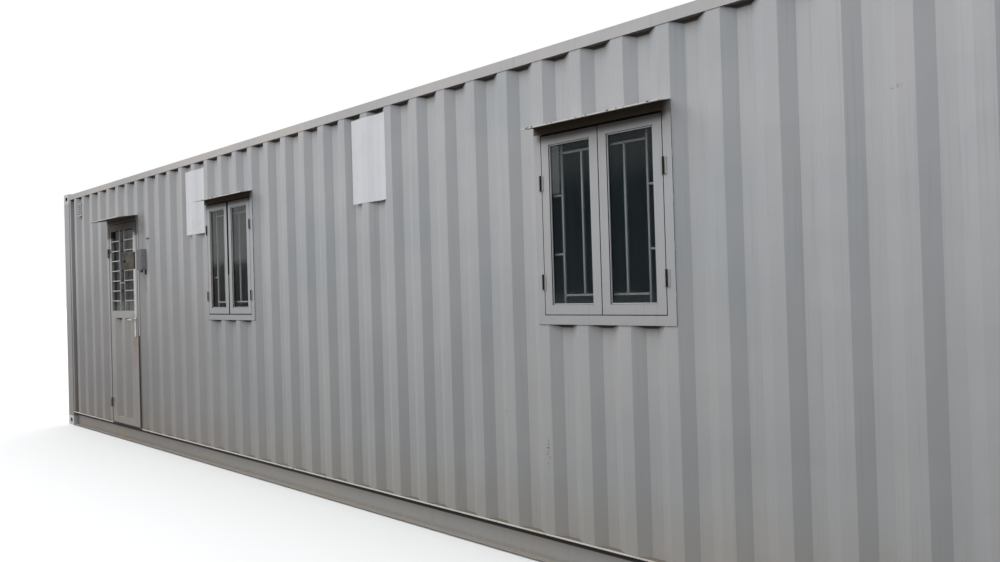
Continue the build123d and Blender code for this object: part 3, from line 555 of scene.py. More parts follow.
def casting_hollows():
    """The hollow of a bottom and a top corner casting, measured from the middle of the plan."""
    middle = Vector((0, MIDDLE_Y, 0))
    inset = Vector((1, 1, 1)) * CASTING_WALL / 2
    hollows = []
    for name in ("bottom_corner_castings", "top_corner_castings"):
        low, high = next(box for box in solid_boxes(name) if box[1].x > 0 and box[1].y > MIDDLE_Y)
        hollows.append((low - middle + inset, high - middle - inset))
    return hollows


# How far before and behind the crests a stain's box reaches
THROUGH = 0.1


def wall_box(x, z, back=CREST_Y + THROUGH):
    """Box through the front wall between two places along it and two heights, as (low, high)."""
    return (x[0], CREST_Y - THROUGH, z[0]), (x[1], back, z[1])


def wall_patch(colour, x, z, soft, strength, back=CREST_Y + THROUGH):
    """One patch between two places along the wall and two heights, fading over soft metres; it serves
    stains, painted shade and a painted highlight.
    """
    return (*wall_box(x, z, back), soft, strength, colour)


# Chipped places on the front wall, as (place, size, strength)
CHIPS = (
    ((1.753, CREST_Y, 0.815), (0.010, 0.05, 0.060), 0.7),
    ((2.090, CREST_Y, 0.615), (0.014, 0.05, 0.110), 1.0),
    ((3.999, CREST_Y, 2.302), (0.045, 0.05, 0.010), 0.4),
    ((-3.530, CREST_Y, 2.145), (0.110, 0.05, 0.060), 0.6),
)

# Scratches down to the steel beside the door, as (place, size)
TEARS = (
    ((-3.470, CREST_Y, 2.182), (0.055, 0.05, 0.014)),
    ((-3.590, CREST_Y, 2.118), (0.060, 0.05, 0.014)),
)

# Stains, painted shade and a painted highlight on the wall, the door and the rail: lengths of runs,
# patches and lines, and how far they overlap
NEAR_EDGE = 0.02
GUARD_RUN = 0.22
GUARD_SHADE_DROP = 0.042
HOOD_SHADE_DROP = 0.13
HOOD_SIDE_DROP = 0.14
DRIP_LENGTH = 0.16
HAND_MARKS = 0.05
RUSTY_WIDTH = 0.22
RUSTY_DROP = 0.30
STILE_WIDTH = 0.072
STILE_HIGHLIGHT_WIDTH = 0.027
STILE_DROP = 0.12
RAIL_LIP_SHADE = 0.046
RAIL_FOOT_BAND = 0.012
MUD_PLACE = 0.12
MUD_WIDTH = 0.06
MUD_HEIGHT = 0.06

# Painted shade in the gap beside the leaf, wide below and narrower above
GAP_STEP_Z = 1.16
WIDE_GAP_SHADE = 0.062
NARROW_GAP_SHADE = 0.030

# Painted shade of the hoods on the window frames, and painted shade in the gaps round the sashes
HEAD_SHADE = 0.040
SASH_SHADE = 0.008
SASH_GAP_SHADE = 0.010
SIDE_SHADE = 0.050
MEETING_SHADE_WIDTH = 0.028
MEETING_FOOT = 0.35
SILL_GAP_SHADE = 0.009


def shading_edges():
    """Edges whose shade is painted on the wall under them: the top rail and the window frames."""
    edges = [(RAIL_Z, BLIND_X, CARGO_X, 0.65)]
    for window in ("far", "near"):
        low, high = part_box(f"{window}_window_frame")
        edges.append((low.z, low.x, high.x, 0.6))
    return edges


def wall_stains_and_shade():
    """Run under the guard box, painted shade on the wall behind and under it, and a darker patch beside
    the door's hood.
    """
    low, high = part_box("padlock_guard")
    hood_low, hood_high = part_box("door_hood")
    run, shaded_gap = (low.x + NEAR_EDGE, high.x - 0.03), (low.x + 0.003, high.x - 0.003)
    beside_hood = (hood_high.x - 0.01, hood_high.x + 0.05)
    return [
        wall_patch(GRIME, run, (low.z - GUARD_RUN, low.z), 0.03, 0.30),
        wall_patch(GAP_SHADE, shaded_gap, (low.z - GUARD_SHADE_DROP, high.z), 0.012, 0.95),
        wall_patch(GRIME, beside_hood, (hood_low.z - HOOD_SIDE_DROP, hood_low.z + NEAR_EDGE), 0.06, 0.28),
    ]


def leaf_stains_and_light():
    """Painted shade under the hood, rust under the lever's plate, hand marks and a painted highlight along
    the stile.
    """
    low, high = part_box("door_escutcheon")
    leaf_low, leaf_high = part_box("door_leaf")
    line = leaf_high.x - STILE_WIDTH
    stile_highlight = (line, line + STILE_HIGHLIGHT_WIDTH), (high.z - NEAR_EDGE, leaf_high.z - STILE_DROP)
    rusty = (leaf_high.x - RUSTY_WIDTH, leaf_high.x), (low.z - RUSTY_DROP, low.z + 0.04)
    return [
        wall_patch(HOOD_SHADE_AND_SCRATCH, (leaf_low.x, leaf_high.x), (leaf_high.z - HOOD_SHADE_DROP, leaf_high.z), 0.04, 0.88),
        wall_patch(RUST_RUN, (low.x - 0.01, low.x + 0.03), (low.z - DRIP_LENGTH, low.z), 0.015, 0.50),
        wall_patch(RUST_RUN, *rusty, 0.08, 0.22),
        wall_patch(LEAF_EDGE_HIGHLIGHT, *stile_highlight, 0.012, 0.55, back=leaf_low.y + 0.001),
        wall_patch(GRIME, (low.x - HAND_MARKS, high.x + NEAR_EDGE), (low.z - 0.08, high.z), 0.05, 0.30),
    ]


def rail_stains_and_shade():
    """Painted shade under the rail's lip, a darker band along its foot and mud thrown up under the door.
    """
    low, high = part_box("bottom_rail_front")
    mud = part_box("door_leaf")[0].x + MUD_PLACE
    return [
        wall_patch(GAP_SHADE, (low.x, high.x), (high.z - RAIL_LIP_SHADE, high.z), 0.006, 0.86),
        wall_patch(FOOT_DARKENING, (low.x, high.x), (low.z, low.z + RAIL_FOOT_BAND), 0.030, 0.20),
        wall_patch(MUD, (mud, mud + MUD_WIDTH), (low.z, low.z + MUD_HEIGHT), 0.07, 0.65),
    ]


def jamb_painted_shade():
    """Painted shade under the hood, and beside the leaf where it no longer closes tightly."""
    low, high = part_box("door_leaf")
    return [
        wall_patch(HOOD_SHADE_AND_SCRATCH, (low.x - 0.1, high.x + 0.1), (high.z - HOOD_SHADE_DROP, high.z + 0.1), 0.04, 0.65),
        wall_patch(GAP_SHADE, (high.x, high.x + WIDE_GAP_SHADE), (low.z, GAP_STEP_Z), 0.004, 0.93),
        wall_patch(GAP_SHADE, (high.x, high.x + NARROW_GAP_SHADE), (GAP_STEP_Z, high.z), 0.004, 0.70),
    ]


def sash_painted_shade():
    """Painted shade of the hoods on the sashes and the frames, and painted shade in the gaps above the
    sashes, and between and under the far sashes, which close badly.
    """
    stains_and_shade = []
    for window in ("far", "near"):
        low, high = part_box(f"{window}_window_sashes")
        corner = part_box(f"{window}_window_frame")[1]
        beside = (high.x + 0.004, corner.x), (corner.z - SIDE_SHADE, corner.z + 0.1)
        stains_and_shade += [
            wall_patch(HOOD_SHADE_AND_SCRATCH, (low.x, high.x), (high.z - SASH_SHADE, high.z + 0.1), 0.045, 0.80),
            wall_patch(GAP_SHADE, (low.x, high.x), (high.z, high.z + SASH_GAP_SHADE), 0.002, 0.95),
            wall_patch(HOOD_SHADE_AND_SCRATCH, *beside, 0.030, 0.50),
        ]
    low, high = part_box("far_window_sashes")
    middle = (low.x + high.x) / 2
    meeting = (middle - MEETING_SHADE_WIDTH / 2, middle + MEETING_SHADE_WIDTH / 2)
    return stains_and_shade + [
        wall_patch(GAP_SHADE, meeting, (low.z + MEETING_FOOT, high.z), 0.004, 0.92),
        wall_patch(GAP_SHADE, (low.x, high.x), (low.z - SILL_GAP_SHADE, low.z), 0.002, 0.70),
    ]


def head_shade(head, filling):
    """Box of painted shade on the head of a frame, tucked under its hood as far as the leaf or the sashes
    reach.
    """
    low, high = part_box(head)
    return wall_box((low.x - 0.1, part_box(filling)[1].x), (high.z - HEAD_SHADE, high.z + 0.1))


HOODS = ("door_hood", "far_window_hood", "near_window_hood")


def rim_edges():
    """The front edge of each hood, where the paint is knocked off."""
    edges = []
    for name in HOODS:
        low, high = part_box(name)
        edges.append(((low.x, low.y - 0.01, low.z - 0.01), (high.x, low.y + 0.01, high.z + 0.02)))
    return edges


def wall_paint():
    """The corrugated walls and the cargo doors, with painted shade under the top rail, the window frames
    and the guard box.
    """
    spoilt = {"marks": CHIPS, "stains_and_shade": wall_stains_and_shade(), "tears": TEARS, "tucks": shading_edges()}
    return weathered_paint("wall_paint", PAINT, patches=0.45, **spoilt)


def jamb_paint():
    """The door's frame, with painted shade in the open gap round the leaf but not along its own outer
    edges.
    """
    hinge_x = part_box("door_leaf")[0].x
    lock_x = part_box("door_jambs")[1].x
    hinge_side = wall_box((hinge_x - 0.1, hinge_x + 0.1), (0, RAIL_Z))
    lock_side = wall_box((lock_x - 0.002, lock_x + 0.1), (0, RAIL_Z))
    return weathered_paint(
        "jamb_paint",
        FRAME_PAINT,
        stains_and_shade=jamb_painted_shade(),
        gap_y=FLANGE_Y + 0.001,
        closed=(hinge_side, lock_side),
        shades=[head_shade("door_head", "door_leaf")],
    )


def leaf_paint():
    """The door's leaf, with painted shade along its outer edges but not within its frame, and on the panel
    under its mid rail.
    """
    low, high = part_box("door_leaf")
    panel_low, panel_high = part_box("door_panel")
    leaf_inside = wall_box((low.x + 0.045, high.x - 0.085), (low.z + 0.06, high.z - 0.06))
    return weathered_paint(
        "leaf_paint",
        LEAF_PAINT,
        cool=PAINT,
        stains_and_shade=leaf_stains_and_light(),
        tucks=[(panel_high.z, panel_low.x, panel_high.x, 0.7)],
        gap_y=low.y + 0.001,
        closed=[leaf_inside],
    )


def window_paint():
    """The window frames and their sashes, with painted shade under the hoods and in the gaps."""
    windows = [(f"{window}_window_frame", f"{window}_window_sashes") for window in ("far", "near")]
    return weathered_paint(
        "fitting_paint",
        FRAME_PAINT,
        stains_and_shade=sash_painted_shade(),
        gap_y=FLANGE_Y + 0.001,
        shades=[head_shade(*window) for window in windows],
    )


# Sheet of the guard box, how far the painted shade inside it reaches out of its open foot and back, and
# the strip of painted shade at the lock plate's right edge where the ragged notch is
GUARD_SHEET = 0.002
GUARD_SHADE_REACH = 0.01
PLATE_NOTCH_SHADE = 0.022


def guard_paint():
    """The padlock's guard box, open below, with painted shade inside and on its underside, and painted
    light on its sides.
    """
    low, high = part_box("padlock_guard")
    inner_low = low + Vector((GUARD_SHEET, GUARD_SHEET, -GUARD_SHADE_REACH))
    inner_high = high - Vector((GUARD_SHEET, -GUARD_SHADE_REACH, GUARD_SHEET))
    looks = {"under": 0.97, "side": GUARD_SIDE_PAINTED_LIGHT, "cavity": (inner_low, inner_high), "shine": 0.1}
    return rusting_paint("guard_paint", GUARD_FRONT, srgb(120, 90, 66), 0.08, **looks)


def lock_paint():
    """The lock plate, with painted shade at its right edge where the ragged notch is."""
    low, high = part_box("door_lock_plate")
    edge = wall_box((high.x - PLATE_NOTCH_SHADE, high.x + 0.1), (low.z - 0.1, high.z + 0.1))
    dark, worn_and_shaded = srgb(52, 51, 44), srgb(64, 56, 43)
    return rusting_paint("lock_plate_paint", dark, worn_and_shaded, 0.2, cavity=edge, shine=0.08)


def near_glass():
    """The near window's panes, bluer than the others and paler along three edges."""
    low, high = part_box("near_window_panes")
    hazes_and_reflections = [
        (*wall_box((low.x, high.x), (high.z - 0.10, high.z)), 0.20, 0.07),
        (*wall_box((low.x, low.x + 0.070), (high.z - 0.278, high.z)), 0.012, 0.20),
        (*wall_box((low.x, high.x), (low.z, low.z + 0.05)), 0.06, 0.05),
    ]
    return window_glass("near_window_glass", 0.02, 0.8, tint=srgb(14, 36, 43), hazes_and_reflections=hazes_and_reflections, shine=0.25)


def far_glass():
    """The far window's panes, paler in their upper half: a painted reflection of the sky."""
    low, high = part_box("far_window_panes")
    hazes_and_reflections = [(*wall_box((low.x, high.x), (low.z + 0.46, high.z)), 0.12, 0.20)]
    return window_glass("far_window_glass", 0.06, 0.9, hazes_and_reflections=hazes_and_reflections)


def door_glass():
    """The door's pane, paler along its foot and in its upper right corner."""
    low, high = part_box("door_pane")
    hazes_and_reflections = [
        (*wall_box((low.x + 0.05, high.x), (low.z, low.z + 0.10)), 0.05, 0.16),
        (*wall_box(((low.x + high.x) / 2, high.x), (high.z - 0.25, high.z)), 0.08, 0.06),
    ]
    return window_glass("door_glass", 0.05, 0.7, hazes_and_reflections=hazes_and_reflections, shine=0.2)


# Thickness of the hinges' plates
HINGE_PLATE = 0.003

# Under is the share of rust and painted shade on faces that look down
MATERIALS = {
    "wall": wall_paint(),
    "frame": weathered_paint("frame_paint", POST_PAINT, rust=0.006, under=0.8),
    "top_rail": weathered_paint("top_rail_paint", TOP_PAINT, cool=PAINT, rust=0.006, under=0.7),
    "rail": weathered_paint(
        "rail_paint", RAIL_PAINT, warm=DIRT, low_dirt=0.22, rust=0.01, under=0.8, stains_and_shade=rail_stains_and_shade()
    ),
    "roof": weathered_paint("roof_paint", PAINT_WARM, cool=PAINT, warm=DIRT, patches=0.6, rust=0.06),
    # Painted shade inside the castings' hollows
    "casting": rusting_paint("casting_paint", CASTING_PAINT, RUST_LIGHT, 0.04, hollows=casting_hollows()),
    "under": rusting_paint("underframe_paint", srgb(70, 68, 66), RUST_LIGHT, 0.5),
    "bar": rusting_paint("bar_paint", srgb(146, 147, 148), RUST_LIGHT, 0.3),
    # The rail's lip, paler than the rail: a painted highlight along its edge
    "lip": rusting_paint("lip_paint", srgb(200, 196, 190), RUST_LIGHT, 0.05),
    # Painted shade on the vents' edges deeper than the crests
    "vent": weathered_paint("vent_paint", PAINT_COOL, PAINT, DIRT, patches=0.8, gap_y=CREST_Y + 0.005),
    "jamb": jamb_paint(),
    "leaf": leaf_paint(),
    "fitting": window_paint(),
    "guard": guard_paint(),
    "lock": lock_paint(),
    "grille": weathered_paint("grille_paint", BAR_PAINT, cool=PAINT, low_dirt=0.2, patches=0.1),
    "bead": weathered_paint("bead_paint", FRAME_PAINT, cool=PAINT),
    # Painted shade on the hoods' undersides
    "hood": rusting_paint("hood_paint", HOOD_PAINT, RUST_DARK, 0.02, under=0.98, shade=HOOD_UNDERSIDE_SHADE),
    "rim": rusting_paint("rim_paint", RIM_HIGHLIGHT_PAINT, RUST_DARK, 0.0, nicked=rim_edges()),
    "window_hinge": painted_hinge("window_hinge_paint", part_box("window_hinges")[1].y - HINGE_PLATE),
    "door_hinge": rusting_paint("door_hinge_paint", srgb(104, 101, 97), srgb(70, 54, 44), 0.35),
    "lever": rusting_paint("lever_paint", LEVER_PAINT, srgb(150, 140, 128), 0.05, gloss=0.35, under=0.3),
    "near_glass": near_glass(),
    "far_glass": far_glass(),
    "door_glass": door_glass(),
    "rubber": rusting_paint("rubber", srgb(40, 40, 41), srgb(70, 68, 64), 0.2),
    "padlock": steel_metal("padlock_metal", srgb(70, 64, 54), 0.5),
    "floor": plywood("floor_plywood"),
    "notice": plain_sheet("notice_sheet"),
}

# Each finish with the nodes that it covers
FRONT_WALLS = ["front_wall_left", "front_wall_over_door", "front_wall_right"]
NODE_FINISH = {
    "wall": [*FRONT_WALLS, "back_wall", "blind_end_wall", "cargo_door_left", "cargo_door_right"],
    "frame": ["corner_posts", "blind_end_sill", "blind_end_header", "cargo_end_sill", "cargo_end_header"],
    "top_rail": ["top_rail_front", "top_rail_back"],
    "rail": ["bottom_rail_front", "bottom_rail_back"],
    "casting": ["bottom_corner_castings", "top_corner_castings"],
    "under": ["floor_crossmembers"],
    "floor": ["floor"],
    "roof": ["roof_panel"],
    "jamb": ["door_jambs", "door_head"],
    "fitting": ["far_window_frame", "far_window_sashes", "near_window_frame", "near_window_sashes"],
    "leaf": ["door_leaf", "door_panel"],
    "hood": HOODS,
    "grille": ["door_grille"],
    "near_glass": ["near_window_panes"],
    "far_glass": ["far_window_panes"],
    "door_glass": ["door_pane"],
    "lock": ["door_lock_plate"],
    "lever": ["door_lever", "door_escutcheon"],
    "window_hinge": ["window_hinges"],
    "door_hinge": ["door_hinge_pins", "door_hinge_barrels"],
    "guard": ["padlock_guard"],
    "vent": ["ventilators"],
    "bar": ["locking_bars", "locking_handles", "cargo_door_hinges"],
}


def finish_nodes():
    """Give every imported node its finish."""
    for finish, names in NODE_FINISH.items():
        for name in names:
            mesh = nodes[name].data
            mesh.materials.clear()
            mesh.materials.append(MATERIALS[finish])


def add_piece(name, bm, finish, body="cabin", smooth=35):
    """Make a mesh piece and let it ride on a body; faces that meet at under smooth degrees look round."""
    mesh = bpy.data.meshes.new(name)
    bm.to_mesh(mesh)
    bm.free()
    piece = bpy.data.objects.new(name, mesh)
    bpy.context.scene.collection.objects.link(piece)
    mesh.materials.append(MATERIALS[finish])
    if smooth is not None:
        for polygon in mesh.polygons:
            polygon.use_smooth = True
        mesh.set_sharp_from_angle(angle=math.radians(smooth))
    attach(piece, body)
    return piece


def add_bar(bm, low, high, edge=0.0015):
    """A bar between two corners, its long edges rounded."""
    low, high = Vector(low), Vector(high)
    part = bmesh.new()
    bmesh.ops.create_cube(part, size=1)
    bmesh.ops.scale(part, vec=high - low, verts=part.verts)
    bmesh.ops.translate(part, vec=(low + high) / 2, verts=part.verts)
    bmesh.ops.bevel(part, geom=part.edges[:], offset=edge, segments=2, affect="EDGES", profile=0.5)
    mesh = bpy.data.meshes.new("bar")
    part.to_mesh(mesh)
    part.free()
    bm.from_mesh(mesh)
    bpy.data.meshes.remove(mesh)


def add_loft(bm, rings):
    """Solid through rings of points, closed at both ends."""
    rings = [[bm.verts.new(point) for point in ring] for ring in rings]
    for first, second in zip(rings, rings[1:]):
        for corner in range(len(first)):
            after = (corner + 1) % len(first)
            bm.faces.new((first[corner], first[after], second[after], second[corner]))
    bm.faces.new(reversed(rings[0]))
    bm.faces.new(rings[-1])


def add_round(bm, stations, axis, sides):
    """Solid with a ring of sides corners at each station, a (centre, radius) along the axis."""
    side = axis.orthogonal().normalized()
    other = axis.cross(side)
    angles = [math.tau * corner / sides for corner in range(sides)]
    spokes = [side * math.cos(angle) + other * math.sin(angle) for angle in angles]
    add_loft(bm, [[centre + spoke * radius for spoke in spokes] for centre, radius in stations])


def add_bead(bm, start, end, radius, chance):
    """Uneven weld bead between two points, thin at its ends."""
    start, end = Vector(start), Vector(end)
    count = max(4, int((end - start).length / (radius * 2.2)))
    stations = []
    for step in range(count + 1):
        size = radius * chance.uniform(0.65, 1.15) * (0.4 if step in (0, count) else 1)
        stations.append((start.lerp(end, step / count), size))
    add_round(bm, stations, (end - start).normalized(), sides=6)


def add_turned(bm, profile, centre, axis, sides=20):
    """Round solid from a profile of (distance along the axis, radius)."""
    axis = Vector(axis).normalized()
    stations = [(Vector(centre) + axis * distance, radius) for distance, radius in profile]
    add_round(bm, stations, axis, sides)


def wall_depth(x):
    """Depth of the front wall's corrugation behind its crests, x from the blind end."""
    along = (x - FIRST_CREST) % PITCH
    share = min(along - CREST, PITCH - along) / SLOPE
    return DEPTH * min(max(share, 0.0), 1.0)


# Bars behind the window panes, measured from the window's centre
BAR = 0.012
BARS_BEHIND_CREST = 0.030
OUTER_UPRIGHT = 0.283
INNER_UPRIGHT = 0.142
BAR_TOP = 2.285
BAR_BOTTOM = 1.504
TIE_HEIGHTS = (2.055, 1.730)
FRAME_FACE = 0.050


def window_bars(window):
    """The burglar bars of one window: two tall uprights a side, two rails and short ties to the frame."""
    low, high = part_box(f"{window}_window_frame")
    centre = (low.x + high.x) / 2
    top, bottom = high.z - FRAME_FACE, low.z + FRAME_FACE
    left, right = low.x + FRAME_FACE, high.x - FRAME_FACE
    y = CREST_Y + BARS_BEHIND_CREST
    bm = bmesh.new()

    def upright(x, z0, z1):
        add_bar(bm, (x - BAR / 2, y, z0), (x + BAR / 2, y + BAR, z1))

    def rail(x0, x1, z):
        add_bar(bm, (x0, y, z - BAR / 2), (x1, y + BAR, z + BAR / 2))

    for side in (-1, 1):
        upright(centre + side * OUTER_UPRIGHT, bottom, top)
        upright(centre + side * INNER_UPRIGHT, BAR_BOTTOM, BAR_TOP)
        edge = right if side > 0 else left
        for z in TIE_HEIGHTS:
            rail(*sorted((centre + side * OUTER_UPRIGHT, edge)), z)
    for z in (BAR_TOP, BAR_BOTTOM):
        rail(centre - OUTER_UPRIGHT, centre + OUTER_UPRIGHT, z)
    return add_piece(f"{window}_window_bars", bm, "grille")


# Blank notices that stand in for the printed ones: (low x, high x, low z, high z) from the blind end
NOTICES = {"notice_near": (6.352, 6.758, 2.185, 2.785), "notice_far": (3.560, 3.975, 2.150, 2.755)}
NOTICE_THICKNESS = 0.0006
NOTICE_LIFT = 0.0004
NOTICE_SAG = 0.25
NOTICE_COLUMNS = 60
NOTICE_ROWS = 12


def notice(name):
    """Thin sheet hung over the crests, sagging a little into the recesses."""
    x0, x1, z0, z1 = NOTICES[name]
    bm = bmesh.new()
    bmesh.ops.create_grid(bm, x_segments=NOTICE_COLUMNS, y_segments=NOTICE_ROWS, size=0.5)
    for vertex in bm.verts:
        x = x0 + (x1 - x0) * (vertex.co.x + 0.5)
        y = CREST_Y + NOTICE_SAG * wall_depth(x) - NOTICE_LIFT - NOTICE_THICKNESS
        vertex.co = (BLIND_X + x, y, z0 + (z1 - z0) * (vertex.co.y + 0.5))
    piece = add_piece(name, bm, "notice", smooth=None)
    solid = piece.modifiers.new("thickness", "SOLIDIFY")
    solid.thickness = NOTICE_THICKNESS
    solid.offset = -1
    return piece


# Glazing beads, which lie on the panes within the sashes' rebates
REBATE = 0.010
BEAD_WIDTH = 0.008
BEAD_DEPTH = 0.007
BEAD_SINK = 0.0005
BEAD_LAP = 0.001
BEAD_EDGE = 0.002


def glazing_beads(window):
    """Thin strips that hold the panes in both sashes."""
    bm = bmesh.new()
    for low, high in solid_boxes(f"{window}_window_panes"):
        x0, x1, z0, z1 = low.x + REBATE, high.x - REBATE, low.z + REBATE, high.z - REBATE
        y0, y1 = low.y - BEAD_DEPTH, low.y + BEAD_SINK
        for z in (z0, z1 - BEAD_WIDTH):
            add_bar(bm, (x0 - BEAD_LAP, y0, z), (x1 + BEAD_LAP, y1, z + BEAD_WIDTH), BEAD_EDGE)
        for x in (x0, x1 - BEAD_WIDTH):
            add_bar(bm, (x, y0, z0), (x + BEAD_WIDTH, y1, z1), BEAD_EDGE)
    return add_piece(f"{window}_glazing_beads", bm, "bead")


# Stitch welds: radii of their beads, their length and the least and greatest step to the next one
HOOD_WELD = 0.0045
SILL_WELD = 0.0035
SIDE_WELD = 0.003
WELD_LIFT = 0.001
WELD_LENGTH = 0.05
WELD_SPACE = (0.19, 0.26)
FIRST_WELD = 0.12
LAST_WELD = 0.10
SHORTEST_WELD = 0.02


def crest_welds(bm, x0, x1, z, radius, chance):
    """A bead on each crest of the front wall between two places along it."""
    start = FIRST_CREST + BLIND_X
    while start < x1:
        left, right = max(start, x0), min(start + CREST, x1)
        if right - left > SHORTEST_WELD:
            add_bead(bm, (left, CREST_Y, z), (right, CREST_Y, z), radius, chance)
        start += PITCH


def weld_beads():
    """Stitch welds where the hoods and the window frames sit on the crests."""
    chance = random.Random(5)
    bm = bmesh.new()
    for hood in HOODS:
        low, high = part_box(hood)
        crest_welds(bm, low.x, high.x, high.z + WELD_LIFT, HOOD_WELD, chance)
        if hood == "door_hood":
            continue
        low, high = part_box(hood.replace("hood", "frame"))
        crest_welds(bm, low.x, high.x, low.z - WELD_LIFT, SILL_WELD, chance)
        for x in (low.x - WELD_LIFT, high.x + WELD_LIFT):
            z = low.z + FIRST_WELD
            while z < high.z - LAST_WELD:
                add_bead(bm, (x, CREST_Y, z), (x, CREST_Y, z + WELD_LENGTH), SIDE_WELD, chance)
                z += chance.uniform(*WELD_SPACE)
    return add_piece("frame_welds", bm, "bead", smooth=60)


# Knob of the lock: its radii, its reach, and its place as a share of the plate's width
KNOB_FOOT = 0.017
KNOB_NECK = 0.0102
KNOB_HEAD = 0.0153
KNOB_TIP = 0.0136
KNOB_REACH = 0.022
KNOB_PLACE = 0.23


def lock_knob():
    """Turned knob on the lock plate."""
    low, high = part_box("door_lock_plate")
    centre = (low.x + KNOB_PLACE * (high.x - low.x), low.y, (low.z + high.z) / 2)
    foot = [(-0.001, KNOB_FOOT), (0.004, KNOB_FOOT), (0.006, KNOB_NECK)]
    head = [(KNOB_REACH * 0.6, KNOB_NECK), (KNOB_REACH * 0.75, KNOB_HEAD), (KNOB_REACH, KNOB_TIP)]
    bm = bmesh.new()
    add_turned(bm, foot + head, centre, (0, -1, 0))
    return add_piece("lock_knob", bm, "padlock", body="door", smooth=40)


# Padlock: its body hangs below the guard's rim, and its shackle starts a little inside the body
PADLOCK_WIDTH = 0.046
PADLOCK_HEIGHT = 0.042
PADLOCK_THICKNESS = 0.020
PADLOCK_EDGE = 0.005
PADLOCK_DROP = 0.028
PADLOCK_BEHIND = 0.026
SHACKLE_RADIUS = 0.0038
SHACKLE_REACH = PADLOCK_WIDTH * 0.32
SHACKLE_SINK = 0.004
SHACKLE_LEG = 0.02
SHACKLE_STEPS = 8


def padlock_body(foot):
    """Rounded body over the middle of its foot."""
    bm = bmesh.new()
    half = Vector((PADLOCK_WIDTH / 2, PADLOCK_THICKNESS / 2, 0))
    add_bar(bm, foot - half, foot + half + Vector((0, 0, PADLOCK_HEIGHT)), PADLOCK_EDGE)
    return add_piece("padlock_body", bm, "padlock", smooth=40)


def padlock_shackle(foot):
    """Bow with two straight legs that stand in the body."""
    start = foot.z + PADLOCK_HEIGHT - SHACKLE_SINK
    path = [(-SHACKLE_REACH, start)]
    for step in range(SHACKLE_STEPS + 1):
        angle = math.pi * (1 - step / SHACKLE_STEPS)
        rise = SHACKLE_LEG + SHACKLE_REACH * math.sin(angle)
        path.append((SHACKLE_REACH * math.cos(angle), start + rise))
    path.append((SHACKLE_REACH, start))
    chance = random.Random(1)
    bm = bmesh.new()
    for (x0, z0), (x1, z1) in zip(path, path[1:]):
        add_bead(bm, (foot.x + x0, foot.y, z0), (foot.x + x1, foot.y, z1), SHACKLE_RADIUS, chance)
    return add_piece("padlock_shackle", bm, "padlock", smooth=60)


def padlock():
    """Padlock hanging in its guard box."""
    low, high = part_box("padlock_guard")
    foot = Vector(((low.x + high.x) / 2, low.y + PADLOCK_BEHIND, low.z - PADLOCK_DROP))
    padlock_body(foot)
    padlock_shackle(foot)


# Louvres of the ventilators, one over each slot
VENT_SLOTS = 6
VENT_SLOT_SPACING = 0.022
LOUVRE_OUT = 0.003
LOUVRE_HEIGHT = 0.004
LOUVRE_INSET = 0.013


def vent_louvres():
    """Lips over the slots of both ventilator covers."""
    bm = bmesh.new()
    for low, high in solid_boxes("ventilators"):
        y = low.y if low.y < 0 else high.y
        first = (low.z + high.z) / 2 - (VENT_SLOTS - 1) / 2 * VENT_SLOT_SPACING
        for number in range(VENT_SLOTS):
            z = first + number * VENT_SLOT_SPACING + LOUVRE_HEIGHT
            start = (low.x + LOUVRE_INSET, y - LOUVRE_OUT, z)
            add_bar(bm, start, (high.x - LOUVRE_INSET, y + LOUVRE_OUT, z + LOUVRE_HEIGHT), 0.001)
    return add_piece("vent_louvres", bm, "vent")


# Bent-up front edges of the hoods, and how far each step strays
RIM_HEIGHT = 0.009
RIM_THICKNESS = 0.0016
RIM_STEP = 0.03
RIM_FOOT = 0.0025
RIM_SINK = 0.0003
RIM_UNEVEN = 0.002
RIM_LEAN = 0.0012


def hood_rims():
    """Front edges of the hoods, bent up by hand and a little uneven."""
    chance = random.Random(31)
    bm = bmesh.new()
    for name in HOODS:
        low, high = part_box(name)
        steps = round((high.x - low.x) / RIM_STEP)
        front, foot = low.y + RIM_SINK, low.z + RIM_FOOT
        back = front + RIM_THICKNESS
        rows = []
        for step in range(steps + 1):
            x = low.x + (high.x - low.x) * step / steps
            top = low.z + RIM_HEIGHT + chance.uniform(-RIM_UNEVEN, RIM_UNEVEN)
            lean = chance.uniform(0.0, RIM_LEAN)
            points = ((front, foot), (back, foot), (back + lean, top), (front + lean, top))
            rows.append([(x, y, z) for y, z in points])
        add_loft(bm, rows)
    bmesh.ops.recalc_face_normals(bm, faces=bm.faces)
    return add_piece("hood_rims", bm, "rim", smooth=30)


# Lip along the bottom rail, with a gap beside the door where it is worn off
LIP_HEIGHT = 0.010
LIP_DEPTH = 0.0025
LIP_DOOR_GAP = 0.06
LIP_END = 0.002
LIP_SINK = 0.0005


def rail_lip():
    """Edge of the flange that stands out along the top of the bottom rail, worn off under the door."""
    low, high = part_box("bottom_rail_front")
    door_low, door_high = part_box("door_leaf")
    bm = bmesh.new()
    for x0, x1 in ((low.x + LIP_END, door_low.x), (door_high.x + LIP_DOOR_GAP, high.x - LIP_END)):
        start = (x0, low.y - LIP_DEPTH, high.z - LIP_HEIGHT)
        add_bar(bm, start, (x1, low.y + 0.001, high.z - LIP_SINK), 0.001)
    return add_piece("bottom_rail_lip", bm, "lip")


# Rubber seals of the cargo doors
SEAL_HEIGHT = 0.004
SEAL_WIDTH = 0.018
SEAL_OVER = 0.004


